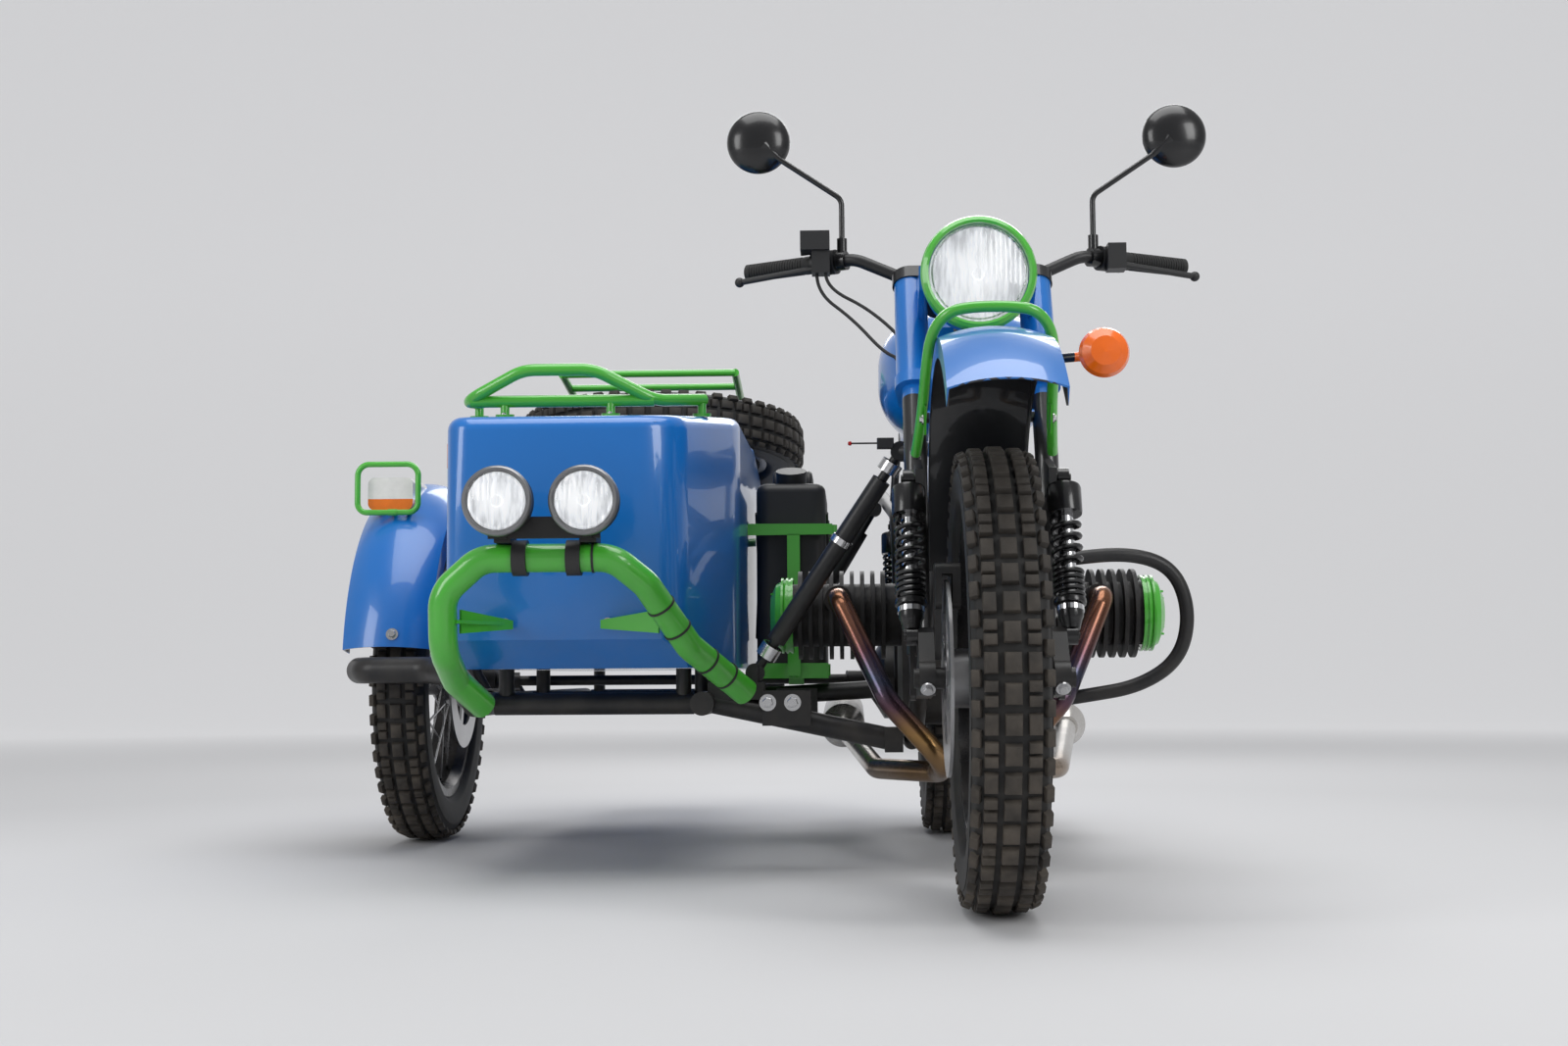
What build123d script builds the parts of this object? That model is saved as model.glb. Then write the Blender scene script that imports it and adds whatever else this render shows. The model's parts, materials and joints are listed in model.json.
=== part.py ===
"""Sidecar motorcycle: a flat-twin machine with a leading-link fork and a sidecar on its right.

World frame: millimetres, +Z up, the front faces -Y and the motorcycle's left is +X.
The origin lies on the ground below the middle of the whole outfit.
"""

from build123d import *
import os
from math import cos, radians, sin, tan

os.makedirs("parts", exist_ok=True)

# ---- Driving dimensions ----
BIKE_X = 402.0  # the motorcycle's centre plane
FRONT_Y = -888.0  # world place of the front axle
WHEELBASE = 1470.0
TRACK = 1135.0  # motorcycle's centre plane to the sidecar wheel's
SIDE_LEAD = 160.0  # the sidecar axle stands this far ahead of the rear axle

TYRE_R = 345.0
TYRE_WIDTH = 112.0
RIM_R = 242.0
RIM_WIDTH = 82.0
HUB_R = 32.0
AXLE_R = 10.0
RUN = 0.3  # running gap round an axle, and the seat of curved faces

RAKE = 27.0
TRAIL = 50.0
FORK_OFFSET = 80.0  # fork legs ahead of the steering axis
LEG_X = 106.0
LEG_R = 19.0
HEAD_LOW = 808.0
HEAD_HIGH = 975.0
HEAD_R = 30.0

FENDER_WIDTH = 164.0
FENDER_R = 522.0
SHEET = 3.0  # fender sheet metal

FRAME_TUBE = 16.0
RAIL_X = 105.0  # lower frame rails
RAIL_Z = 232.0

ENGINE_Y = 690.0
ENGINE_Z = 462.0
FIN_R = 82.0
HEAD_X = 322.0  # outer end of the cylinder fins
COVER_DEPTH = 40.0

BODY_OUT = 925.0  # sidecar body, measured from the motorcycle's centre plane
BODY_IN = 425.0
BODY_FRONT = 430.0
BODY_REAR = 2120.0
BODY_LOW = 365.0
WALL = 12.0
BULKHEAD = 1330.0
NOSE_TOP = 806.0
DECK_TOP = 850.0

CHASSIS_Z = 302.0
CHASSIS_R = 21.0

SPARE_TILT = 7.0
SPARE_Y = 1700.0
LID_THICK = 12.0


# ---- Places and small helpers ----
def bike(x, y, z):
    """A point x left of the motorcycle's centre plane, y behind its front axle."""
    return Vector(BIKE_X + x, FRONT_Y + y, z)


def steer(z, ahead=0.0):
    """Distance behind the front axle of the steering axis at height z, moved ahead of it."""
    return z * tan(radians(RAKE)) - TRAIL - ahead / cos(radians(RAKE))


def tube(points, r, bend=None, mode=Mode.ADD):
    """Adds a round tube along straight runs, joined by tangent arcs."""
    with BuildLine() as route:
        if bend:
            FilletPolyline(*points, radius=bend)
        else:
            Polyline(*points)
    with BuildSketch(Plane(origin=route.line @ 0, z_dir=route.line % 0)) as disc:
        Circle(r)
    sweep(disc.sketch, path=route.line, mode=mode)


def rod(start, end, r, mode=Mode.ADD):
    """Adds or cuts a straight round bar from start to end."""
    run = Vector(*end) - Vector(*start)
    with BuildSketch(Plane(origin=start, z_dir=run)) as disc:
        Circle(r)
    extrude(disc.sketch, amount=run.length, mode=mode)


def block(low, high, mode=Mode.ADD):
    """Adds or cuts a block between two corners."""
    low, high = Vector(*low), Vector(*high)
    middle, size = (low + high) * 0.5, high - low
    with Locations(Location(middle)):
        Box(abs(size.X), abs(size.Y), abs(size.Z), mode=mode)


def save(part, name):
    part.label = name
    export_step(part, f"parts/{name}.step")


# ---- Wheels ----
DISC_PLACE = 70.0  # brake disc's middle, out from the wheel's centre plane
DISC_R = 147.0
DISC_THICK = 5.0
WINDOWS = 5  # openings in a disc's carrier
WINDOW_IN = 56.0
WINDOW_OUT = 98.0
WINDOW_BAR = 22.0
FLANGE_R = 52.0
FLANGE_OUT = 36.0
HUB_END = 52.0
SPOKES = 16  # on each side of a hub
SPOKE = 3.4
SPOKE_LEAN = 48.0  # degrees round the wheel from hub flange to rim

SPARE_AXIS = Vector(0, sin(radians(SPARE_TILT)), cos(radians(SPARE_TILT)))
BODY_MID = -(BODY_OUT + BODY_IN) / 2
LID_Z = 872.0  # lid's top face below the spare wheel's front edge
HINGE_Y = BULKHEAD - 8
SPARE_RISE = 20.0  # the spare wheel's side stands this far above the lid
SPARE_MID = (
    bike(BODY_MID + 8, HINGE_Y, LID_Z)
    + Vector(0, SPARE_AXIS.Z, -SPARE_AXIS.Y) * (SPARE_Y - HINGE_Y)
    + SPARE_AXIS * (TYRE_WIDTH / 2 + SPARE_RISE)
)

# name, centre, axis, side of the disc (0: none)
WHEELS = (
    ("front", bike(0, 0, TYRE_R), Vector(1, 0, 0), -1),
    ("rear", bike(0, WHEELBASE, TYRE_R), Vector(1, 0, 0), 1),
    ("sidecar", bike(-TRACK, WHEELBASE - SIDE_LEAD, TYRE_R), Vector(1, 0, 0), 1),
    ("spare", SPARE_MID, SPARE_AXIS, 0),
)

for name, centre, axis, disc_side in WHEELS:
    radial = Vector(0, axis.Z, -axis.Y) if axis.X == 0 else Vector(0, -1, 0)
    section = Plane(origin=centre, x_dir=radial, z_dir=radial.cross(axis))
    turn = Axis(centre, axis)
    hub_in, hub_out = -HUB_END, HUB_END
    if disc_side > 0:
        hub_out = DISC_PLACE + 4
    if disc_side < 0:
        hub_in = -DISC_PLACE - 4

    with BuildPart() as tyre:
        with BuildSketch(section):
            with BuildLine():
                half = TYRE_WIDTH / 2
                for s in (-1, 1):
                    Line((RIM_R + RUN, 0), (RIM_R + RUN, s * 36))
                    Line((RIM_R + RUN, s * 36), (RIM_R + 14, s * 38))
                    ThreePointArc((RIM_R + 14, s * 38), (RIM_R + 50, s * half), (TYRE_R - 14, s * 50))
                    Line((TYRE_R - 14, s * 50), (TYRE_R - 6, s * 45))
                ThreePointArc((TYRE_R - 6, -45), (TYRE_R, 0), (TYRE_R - 6, 45))
            make_face()
        revolve(axis=turn)
    save(tyre.part, f"tyre_{name}")

    with BuildPart() as wheel:
        with BuildSketch(section):
            with BuildLine():
                rim_half = RIM_WIDTH / 2
                Polyline(
                    (RIM_R, -rim_half + 2),
                    (RIM_R + 11, -rim_half + 2),
                    (RIM_R + 11, -rim_half),
                    (RIM_R - 5, -rim_half),
                    (RIM_R - 14, -rim_half / 2),
                    (RIM_R - 14, rim_half / 2),
                    (RIM_R - 5, rim_half),
                    (RIM_R + 11, rim_half),
                    (RIM_R + 11, rim_half - 2),
                    (RIM_R, rim_half - 2),
                    close=True,
                )
            make_face()
            with BuildLine():
                Polyline(
                    (AXLE_R + RUN, hub_in),
                    (HUB_R, hub_in),
                    (HUB_R, -FLANGE_OUT),
                    (FLANGE_R, -FLANGE_OUT),
                    (FLANGE_R, -FLANGE_OUT + 6),
                    (HUB_R, -FLANGE_OUT + 12),
                    (HUB_R, FLANGE_OUT - 12),
                    (FLANGE_R, FLANGE_OUT - 6),
                    (FLANGE_R, FLANGE_OUT),
                    (HUB_R, FLANGE_OUT),
                    (HUB_R, hub_out),
                    (AXLE_R + RUN, hub_out),
                    close=True,
                )
            make_face()
        revolve(axis=turn)
        spokes = []
        face = Plane(origin=centre, x_dir=radial, z_dir=axis)
        for k in range(2 * SPOKES):
            side = 1 if k % 2 else -1
            lean = SPOKE_LEAN if k % 4 < 2 else -SPOKE_LEAN
            at_hub = 180.0 * k / SPOKES
            at_rim = at_hub + lean
            a, b = radians(at_hub), radians(at_rim)
            start = face.from_local_coords(
                Vector((FLANGE_R - 4) * cos(a), (FLANGE_R - 4) * sin(a), side * (FLANGE_OUT - 3))
            )
            end = face.from_local_coords(
                Vector((RIM_R - 10) * cos(b), (RIM_R - 10) * sin(b), side * 8)
            )
            spokes.append(Plane(origin=start, z_dir=end - start))
        with BuildSketch(*spokes):
            Rectangle(SPOKE, SPOKE)
        extrude(amount=(end - start).length)
    save(wheel.part, f"wheel_{name}")

    if disc_side:
        with BuildPart() as disc:
            with BuildSketch(section):
                with BuildLine():
                    inner = disc_side * (DISC_PLACE - DISC_THICK / 2)
                    outer = disc_side * (DISC_PLACE + DISC_THICK / 2)
                    Polyline(
                        (HUB_R + RUN, disc_side * FLANGE_OUT),
                        (HUB_R + 12, disc_side * FLANGE_OUT),
                        (HUB_R + 12, inner),
                        (DISC_R, inner),
                        (DISC_R, outer),
                        (HUB_R + RUN, outer),
                        close=True,
                    )
                make_face()
            revolve(axis=turn)
            with BuildSketch(Plane(origin=centre + axis * inner, x_dir=radial, z_dir=axis * disc_side)):
                Circle(WINDOW_OUT)
                Circle(WINDOW_IN, mode=Mode.SUBTRACT)
                with PolarLocations(0, WINDOWS):
                    Rectangle(2 * WINDOW_OUT, WINDOW_BAR, align=(Align.MIN, Align.CENTER), mode=Mode.SUBTRACT)
            extrude(amount=DISC_THICK, mode=Mode.SUBTRACT)
        save(disc.part, f"disc_{name}")

# ---- Fork and steering ----
HEAD_MID = Plane(
    origin=bike(0, steer(HEAD_LOW), HEAD_LOW),
    x_dir=(1, 0, 0),
    z_dir=(0, sin(radians(RAKE)), cos(radians(RAKE))),
)
HEAD_LENGTH = (HEAD_HIGH - HEAD_LOW) / cos(radians(RAKE))
STEM_R = 14.0
YOKE = 22.0  # yoke thickness
LOW_YOKE = -YOKE - 4  # underside of the lower yoke along the steering axis
HIGH_YOKE = HEAD_LENGTH + 4
STEM_BOSS = 28.0
RISER_X = 58.0
RISER_Y = -12.0
RISER_BOSS = 20.0
# where the two cables land on the lower yoke
CABLE_SEATS = ((-122.0, -36.0), (-104.0, -26.0))
CABLE_BOSS = 8.0
LEG_BEND = -150.0  # along the steering axis
LEG_FOOT = (175.0, 382.0)  # y, z where the tube of each leg ends
PIVOT = (168.0, 332.0)
ARM_IN, ARM_OUT = 88.0, 112.0  # leading arm, across
ARM_R = 22.0
PLATE_OUT = 121.0
SHOCK_X = 121.0
SHOCK_TOP = (126.0, 658.0)
SHOCK_LOW = (42.0, 408.0)
EYE_R = 14.0
PIN_R = 6.0


def stem_point(x, y, s):
    """A point x left of, y behind and s along the steering axis from the head tube's foot."""
    return HEAD_MID.from_local_coords(Vector(x, y, s))


def span(side, x_in, x_out, low, high):
    """Corners of a block between two distances from the centre plane, on one side of it."""
    left, right = sorted((side * x_in, side * x_out))
    return bike(left, *low), bike(right, *high)


def side_plate(x_in, x_out, outline, rounding=0):
    """Adds a plate parallel to the centre plane, from corners given as (y, z)."""
    with BuildSketch(Plane(origin=bike(x_in, 0, 0), x_dir=(0, 1, 0), z_dir=(1, 0, 0))) as face:
        with BuildLine():
            Polyline(*outline, close=True)
        make_face()
        if rounding:
            fillet(face.vertices(), rounding)
    extrude(face.sketch, amount=x_out - x_in)


def leg_tube(side, r, mode=Mode.ADD):
    """Adds one fork leg's tube, or cuts its seat."""
    x = side * LEG_X
    corners = [
        stem_point(x, -FORK_OFFSET, HIGH_YOKE + YOKE + 6),
        stem_point(x, -FORK_OFFSET, LEG_BEND),
        bike(x, *LEG_FOOT),
    ]
    tube(corners, r, bend=140, mode=mode)


with BuildPart() as fork:
    for s in (LOW_YOKE, HIGH_YOKE):
        with BuildSketch(HEAD_MID.offset(s)):
            Circle(STEM_BOSS)
            with Locations((-LEG_X, -FORK_OFFSET), (LEG_X, -FORK_OFFSET)):
                Circle(LEG_R + 12)
            if s == HIGH_YOKE:
                with Locations((-RISER_X, RISER_Y), (RISER_X, RISER_Y)):
                    Circle(RISER_BOSS)
            else:
                with Locations(*CABLE_SEATS):
                    Circle(CABLE_BOSS)
            make_hull()
        extrude(amount=YOKE)
    rod(stem_point(0, 0, LOW_YOKE), stem_point(0, 0, HIGH_YOKE + YOKE + 10), STEM_R)
    for side in (-1, 1):
        leg_tube(side, LEG_R)
        low, high = sorted((side * (ARM_OUT + RUN), side * PLATE_OUT))
        foot_y, foot_z = LEG_FOOT
        side_plate(
            low,
            high,
            [
                (PIVOT[0] - 22, PIVOT[1] - 22),
                (PIVOT[0] + 22, PIVOT[1] - 22),
                (foot_y + 17, foot_z + 60),
                (foot_y - 14, foot_z + 60),
            ],
            rounding=8,
        )
        rod(bike(side * ARM_IN, *PIVOT), bike(side * PLATE_OUT, *PIVOT), AXLE_R - 1)
        side_plate(
            *sorted((side * (LEG_X - 8), side * (ARM_OUT - 2))),
            [
                (SHOCK_TOP[0] - 12, SHOCK_TOP[1] - 12),
                (195, 632),
                (215, 700),
                (SHOCK_TOP[0] - 12, SHOCK_TOP[1] + 14),
            ],
        )
        rod(bike(side * LEG_X, *SHOCK_TOP), bike(side * (SHOCK_X + 12), *SHOCK_TOP), PIN_R)
    for x in (-RISER_X, RISER_X):
        rod(stem_point(x, RISER_Y, HIGH_YOKE + YOKE), stem_point(x, RISER_Y, HIGH_YOKE + YOKE + 24), 13)
save(fork.part, "fork")

with BuildPart() as leading_arms:
    for side in (-1, 1):
        low, high = sorted((side * ARM_IN, side * ARM_OUT))
        with BuildSketch(Plane(origin=bike(low, 0, 0), x_dir=(0, 1, 0), z_dir=(1, 0, 0))):
            with BuildLine():
                Polyline(
                    (-8, TYRE_R - ARM_R),
                    (PIVOT[0], PIVOT[1] - 19),
                    (PIVOT[0], PIVOT[1] + 19),
                    (70, 372),
                    (SHOCK_LOW[0] + 15, SHOCK_LOW[1] + 6),
                    (SHOCK_LOW[0], SHOCK_LOW[1] + 14),
                    (SHOCK_LOW[0] - 15, SHOCK_LOW[1] + 6),
                    (-8, TYRE_R + ARM_R),
                    close=True,
                )
            make_face()
            with Locations((0, TYRE_R)):
                Circle(ARM_R + 4)
            with Locations(PIVOT):
                Circle(19)
                Circle(AXLE_R - 1 + RUN, mode=Mode.SUBTRACT)
        extrude(amount=high - low)
        rod(bike(side * ARM_IN, *SHOCK_LOW), bike(side * (SHOCK_X + 12), *SHOCK_LOW), PIN_R)
        rod(bike(side * ARM_OUT, 0, TYRE_R), bike(side * (ARM_OUT + 8), 0, TYRE_R), 15)
    rod(bike(-ARM_OUT, 0, TYRE_R), bike(ARM_OUT, 0, TYRE_R), AXLE_R)
    for side in (-1, 1):
        hub = HUB_END if side > 0 else DISC_PLACE + 4
        rod(bike(side * (hub + 0.5), 0, TYRE_R), bike(side * ARM_IN, 0, TYRE_R), AXLE_R + 6)
save(leading_arms.part, "leading_arms")

# ---- Suspension units ----
SPRING_R = 25.0
COILS = 7


def shock(top, low, eye_width):
    """Adds a coil-over unit between two eyes whose pins run across the motorcycle."""
    run = low - top
    length = run.length
    base = Plane(origin=top, x_dir=(1, 0, 0), z_dir=run)
    section = Plane(origin=top, x_dir=base.y_dir, z_dir=base.x_dir)
    spring_top, spring_low = 68.0, length - 58.0
    pitch = (spring_low - spring_top) / COILS
    neck = SHOCK_X - ARM_OUT - 1
    outline = [(0, PIN_R + 3), (neck, PIN_R + 3), (neck, 21), (27, 26), (27, spring_top - 4)]
    outline += [(SPRING_R - 7, spring_top)]
    for k in range(COILS):
        start = spring_top + k * pitch
        outline += [(SPRING_R, start + 0.3 * pitch), (SPRING_R, start + 0.62 * pitch)]
        outline += [(SPRING_R - 7, start + 0.95 * pitch)]
    outline += [(25, spring_low + 3), (25, spring_low + 9), (20, spring_low + 12)]
    outline += [(20, length - 26), (neck, length - 22), (neck, length - PIN_R - 3), (0, length - PIN_R - 3)]
    way = 1 if section.y_dir.dot(run) > 0 else -1
    with BuildSketch(section) as half:
        with BuildLine():
            Polyline(*[(r, way * s) for r, s in outline], close=True)
        make_face()
    revolve(half.sketch, axis=Axis(top, run))
    for eye in (top, low):
        across = Vector(eye_width / 2, 0, 0)
        rod(eye - across, eye + across, EYE_R)
        rod(eye - across, eye + across, PIN_R + RUN, mode=Mode.SUBTRACT)


with BuildPart() as fork_shocks:
    for side in (-1, 1):
        x = side * SHOCK_X
        shock(bike(x, *SHOCK_TOP), bike(x, *SHOCK_LOW), 2 * (SHOCK_X - ARM_OUT - RUN))
save(fork_shocks.part, "fork_shocks")

# ---- Front fender and its hoop ----
LIP_ANGLE = 50.0  # above the horizontal, ahead of the axle
KNEE_ANGLE = 115.0
TAIL_ANGLE = 184.0
TAIL_R = 300.0
SKIRT = 46.0


CROWN = 16.0  # rise of a fender's middle above its edges


def fender_section(centre, r, angle, width, skirt, sheet, crown=CROWN):
    """Sketches a fender's cross-section r from a point, at an angle above the front horizon."""
    a = radians(angle)
    radial = Vector(0, -cos(a), sin(a))
    plane = Plane(origin=centre, x_dir=radial, z_dir=radial.cross(Vector(1, 0, 0)))
    half = width / 2
    with BuildSketch(plane) as section:
        with BuildLine():
            Line((r - skirt, -half), (r - crown, -half))
            ThreePointArc((r - crown, -half), (r, 0), (r - crown, half))
            Line((r - crown, half), (r - skirt, half))
            Line((r - skirt, half), (r - skirt, half - sheet))
            Line((r - skirt, half - sheet), (r - crown - 2, half - sheet))
            ThreePointArc((r - crown - 2, half - sheet), (r - sheet, 0), (r - crown - 2, sheet - half))
            Line((r - crown - 2, sheet - half), (r - skirt, sheet - half))
            Line((r - skirt, sheet - half), (r - skirt, -half))
        make_face()
    return section.sketch


with BuildPart() as front_fender:
    axle = bike(0, 0, TYRE_R)
    lip = fender_section(axle, FENDER_R, LIP_ANGLE, FENDER_WIDTH, SKIRT, SHEET)
    revolve(lip, axis=Axis(axle, (-1, 0, 0)), revolution_arc=KNEE_ANGLE - LIP_ANGLE)
    knee = radians(KNEE_ANGLE)
    knee_mid = axle + Vector(0, -cos(knee), sin(knee)) * (FENDER_R - TAIL_R)
    bend = fender_section(knee_mid, TAIL_R, KNEE_ANGLE, FENDER_WIDTH, SKIRT, SHEET)
    revolve(bend, axis=Axis(knee_mid, (-1, 0, 0)), revolution_arc=TAIL_ANGLE - KNEE_ANGLE)
    for side in (-1, 1):
        low, high = stem_point(side * LEG_X, -FORK_OFFSET, -110), stem_point(side * LEG_X, -FORK_OFFSET, -50)
        middle = (low + high) / 2
        rod(middle - Vector(side * 27, 0, 0), middle, 11)
        leg_tube(side, LEG_R + RUN, mode=Mode.SUBTRACT)
save(front_fender.part, "front_fender")

HOOP_R = 8.5
HOOP_X = 95.0
with BuildPart() as fender_hoop:
    tube(
        [
            bike(-LEG_X - 2, 150, 700),
            bike(-HOOP_X - 2, 60, 760),
            bike(-HOOP_X, -45, 850),
            bike(-58, -80, 886),
            bike(58, -80, 886),
            bike(HOOP_X, -45, 850),
            bike(HOOP_X + 2, 60, 760),
            bike(LEG_X + 2, 150, 700),
        ],
        HOOP_R,
        bend=[50, 30, 30, 30, 30, 50],
    )
    for side in (-1, 1):
        rod(bike(side * (LEG_X + 2), 140, 706.6), bike(side * (LEG_X + 2), 222, 706.6), 6)
        leg_tube(side, LEG_R + RUN, mode=Mode.SUBTRACT)
save(fender_hoop.part, "fender_hoop")

# ---- Headlamp, its ears and the left indicator ----
LAMP_Y = 222.0
LAMP_Z = 1002.0
LAMP_R = 88.0
LAMP_RIM_R = 95.0
LAMP_BACK = 116.0


def turned(origin, direction, outline):
    """Adds a solid turned about a line, from (distance along it, radius) corners."""
    direction = Vector(*direction).normalized()
    side = Vector(1, 0, 0) if abs(direction.X) < 0.9 else Vector(0, 1, 0)
    side = (side - direction * side.dot(direction)).normalized()
    plane = Plane(origin=origin, x_dir=direction, z_dir=direction.cross(side))
    with BuildSketch(plane) as half:
        with BuildLine():
            Polyline(*outline, close=True)
        make_face()
    revolve(half.sketch, axis=Axis(origin, direction))


with BuildPart() as headlamp_shell:
    turned(
        bike(0, LAMP_Y, LAMP_Z),
        (0, 1, 0),
        [
            (0, 0),
            (0, LAMP_R),
            (52, LAMP_R),
            (80, LAMP_R - 12),
            (102, LAMP_R - 38),
            (LAMP_BACK, 26),
            (LAMP_BACK, 0),
        ],
    )
save(headlamp_shell.part, "headlamp_shell")

with BuildPart() as headlamp_rim:
    turned(
        bike(0, LAMP_Y, LAMP_Z),
        (0, -1, 0),
        [
            (0, LAMP_R - 6),
            (0, LAMP_RIM_R - 1),
            (12, LAMP_RIM_R),
            (20, LAMP_RIM_R - 3),
            (24, LAMP_R - 2),
            (22, LAMP_R - 6),
        ],
    )
save(headlamp_rim.part, "headlamp_rim")

with BuildPart() as headlamp_lens:
    turned(
        bike(0, LAMP_Y, LAMP_Z),
        (0, -1, 0),
        [(0, 0), (0, LAMP_R - 6 - RUN), (14, LAMP_R - 6 - RUN), (22, 50), (25, 0)],
    )
save(headlamp_lens.part, "headlamp_lens")

EAR_R = 28.0
with BuildPart() as lamp_ears:
    for side in (-1, 1):
        start = stem_point(side * LEG_X, -FORK_OFFSET, LOW_YOKE + YOKE + RUN)
        end = stem_point(side * LEG_X, -FORK_OFFSET, HIGH_YOKE - RUN)
        rod(start, end, EAR_R)
        low, high = sorted((side * (LAMP_R + RUN), side * (LAMP_R + 8)))
        side_plate(
            low,
            high,
            [
                (LAMP_Y + 22, LAMP_Z - 20),
                (LAMP_Y + 22, LAMP_Z + 20),
                (steer(LAMP_Z, FORK_OFFSET) - 20, LAMP_Z),
                (steer(LAMP_Z - 60, FORK_OFFSET) - 10, LAMP_Z - 60),
            ],
        )
        rod(start, end, LEG_R + RUN, mode=Mode.SUBTRACT)
save(lamp_ears.part, "lamp_ears")

WINKER_R = 41.0
WINKER = (206.0, 868.0)
with BuildPart() as indicator:
    turned(
        bike(200, *WINKER),
        (0, -1, 0),
        [(-30, 0), (-30, 14), (-22, 30), (0, WINKER_R), (12, WINKER_R - 4), (22, 24), (25, 0)],
    )
    rod(bike(200, WINKER[0] + 22, WINKER[1]), bike(LEG_X, 298, 872), 8)
    rod(
        stem_point(LEG_X, -FORK_OFFSET, HIGH_YOKE + 80),
        stem_point(LEG_X, -FORK_OFFSET, LEG_BEND),
        EAR_R + RUN,
        mode=Mode.SUBTRACT,
    )
save(indicator.part, "indicator")

# ---- Handlebar and what it carries ----
BAR_R = 11.0
GRIP_R = 16.5
BAR_SEAT = stem_point(0, -12, HIGH_YOKE + YOKE + 24 + BAR_R + 4)
BAR_KNEE = (200.0, 483.0, 1088.0)
BAR_END = (392.0, 572.0, 1084.0)
GRIP_LONG = 130.0


def bar_point(side, from_end, drop=0.0, ahead=0.0):
    """A point on the straight outer part of the handlebar, measured in from its end."""
    knee, end = bike(side * BAR_KNEE[0], *BAR_KNEE[1:]), bike(side * BAR_END[0], *BAR_END[1:])
    return end + (knee - end).normalized() * from_end - Vector(0, ahead, drop)


with BuildPart() as handlebar:
    seat_y, seat_z = BAR_SEAT.Y - FRONT_Y, BAR_SEAT.Z
    half = [BAR_END, BAR_KNEE, (92, seat_y, seat_z)]
    points = [bike(-x, y, z) for x, y, z in half] + [bike(x, y, z) for x, y, z in half[::-1]]
    tube(points, BAR_R, bend=[60, 60, 60, 60])
    for x in (-58, 58):
        with BuildSketch(HEAD_MID.offset(HIGH_YOKE + YOKE + 24)) as clamp:
            with Locations((x, -12)):
                Rectangle(26, 36)
        extrude(clamp.sketch, amount=2 * BAR_R + 8)
save(handlebar.part, "handlebar")

with BuildPart() as grips:
    for side in (-1, 1):
        rod(bar_point(side, GRIP_LONG), bar_point(side, -6), GRIP_R)
        rod(bar_point(side, GRIP_LONG + 9), bar_point(side, -RUN), BAR_R + RUN, mode=Mode.SUBTRACT)
save(grips.part, "grips")

POD_R = 22.0
POD_LONG = 44.0
MIRROR_R = 57.0
MIRROR = (372.0, 495.0, 1308.0)
with BuildPart() as hand_controls:
    for side in (-1, 1):
        inner, outer = bar_point(side, GRIP_LONG + 1 + POD_LONG), bar_point(side, GRIP_LONG + 1)
        rod(inner, outer, POD_R)
        middle = (inner + outer) * 0.5
        inner_x, outer_x = -side * 8, side * 24
        block(middle + Vector(inner_x, -46, -26), middle + Vector(outer_x, -8, 20))
        ball = bike(side * 409, 537, 1060)
        rod(middle + Vector(0, -36, -14), ball, 5.5)
        with Locations(Location(ball)):
            Sphere(9)
        if side < 0:
            block(middle + Vector(-44, -52, 14), middle + Vector(8, 0, 48))
        rod(
            bar_point(side, GRIP_LONG + 1 + POD_LONG + 9),
            bar_point(side, GRIP_LONG - 9),
            BAR_R + RUN,
            mode=Mode.SUBTRACT,
        )
        rod(bar_point(side, GRIP_LONG), bar_point(side, -6), GRIP_R + 6, mode=Mode.SUBTRACT)
save(hand_controls.part, "hand_controls")

with BuildPart() as mirrors:
    for side in (-1, 1):
        root = bar_point(side, GRIP_LONG + POD_LONG + 12)
        face = bike(side * MIRROR[0], *MIRROR[1:])
        rod(root, root + Vector(0, 0, 40), 9)
        rod(bar_point(side, GRIP_LONG + POD_LONG + 3), bar_point(side, GRIP_LONG + POD_LONG + 21), 17)
        tube(
            [
                root + Vector(0, 0, 36),
                root + Vector(0, 0, 112),
                face + Vector(-side * 40, -4, -36),
                face + Vector(-side * 8, -6, -8),
            ],
            5,
            bend=[22, 60],
        )
        turned(
            face + Vector(0, 12, 0),
            (0, -1, 0),
            [(-4, 0), (-4, MIRROR_R - 3), (4, MIRROR_R), (16, MIRROR_R - 10), (28, 24), (31, 0)],
        )
        rod(bar_point(side, GRIP_LONG + 72), bar_point(side, GRIP_LONG), BAR_R + RUN, mode=Mode.SUBTRACT)
save(mirrors.part, "mirrors")

# ---- Front brake ----
with BuildPart() as caliper:
    clear = 8.0
    block(bike(-ARM_IN + RUN, -32, 448), bike(-50, 44, 516))
    fillet(caliper.edges().filter_by(Axis.X), 12)
    block(
        bike(-DISC_PLACE - clear, -60, 400),
        bike(-DISC_PLACE + clear, 70, 500),
        mode=Mode.SUBTRACT,
    )
    low, high = -ARM_IN + RUN, -DISC_PLACE - clear
    side_plate(low, high, [(10, 372), (60, 372), (44, 470), (-10, 470)])
save(caliper.part, "brake_caliper")

# ---- Cables from the right hand controls to the lower yoke ----
CABLE_R = 3.0
POD_MID = (bar_point(-1, GRIP_LONG + 1 + POD_LONG) + bar_point(-1, GRIP_LONG + 1)) / 2
YOKE_TOP = LOW_YOKE + YOKE + RUN
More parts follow.
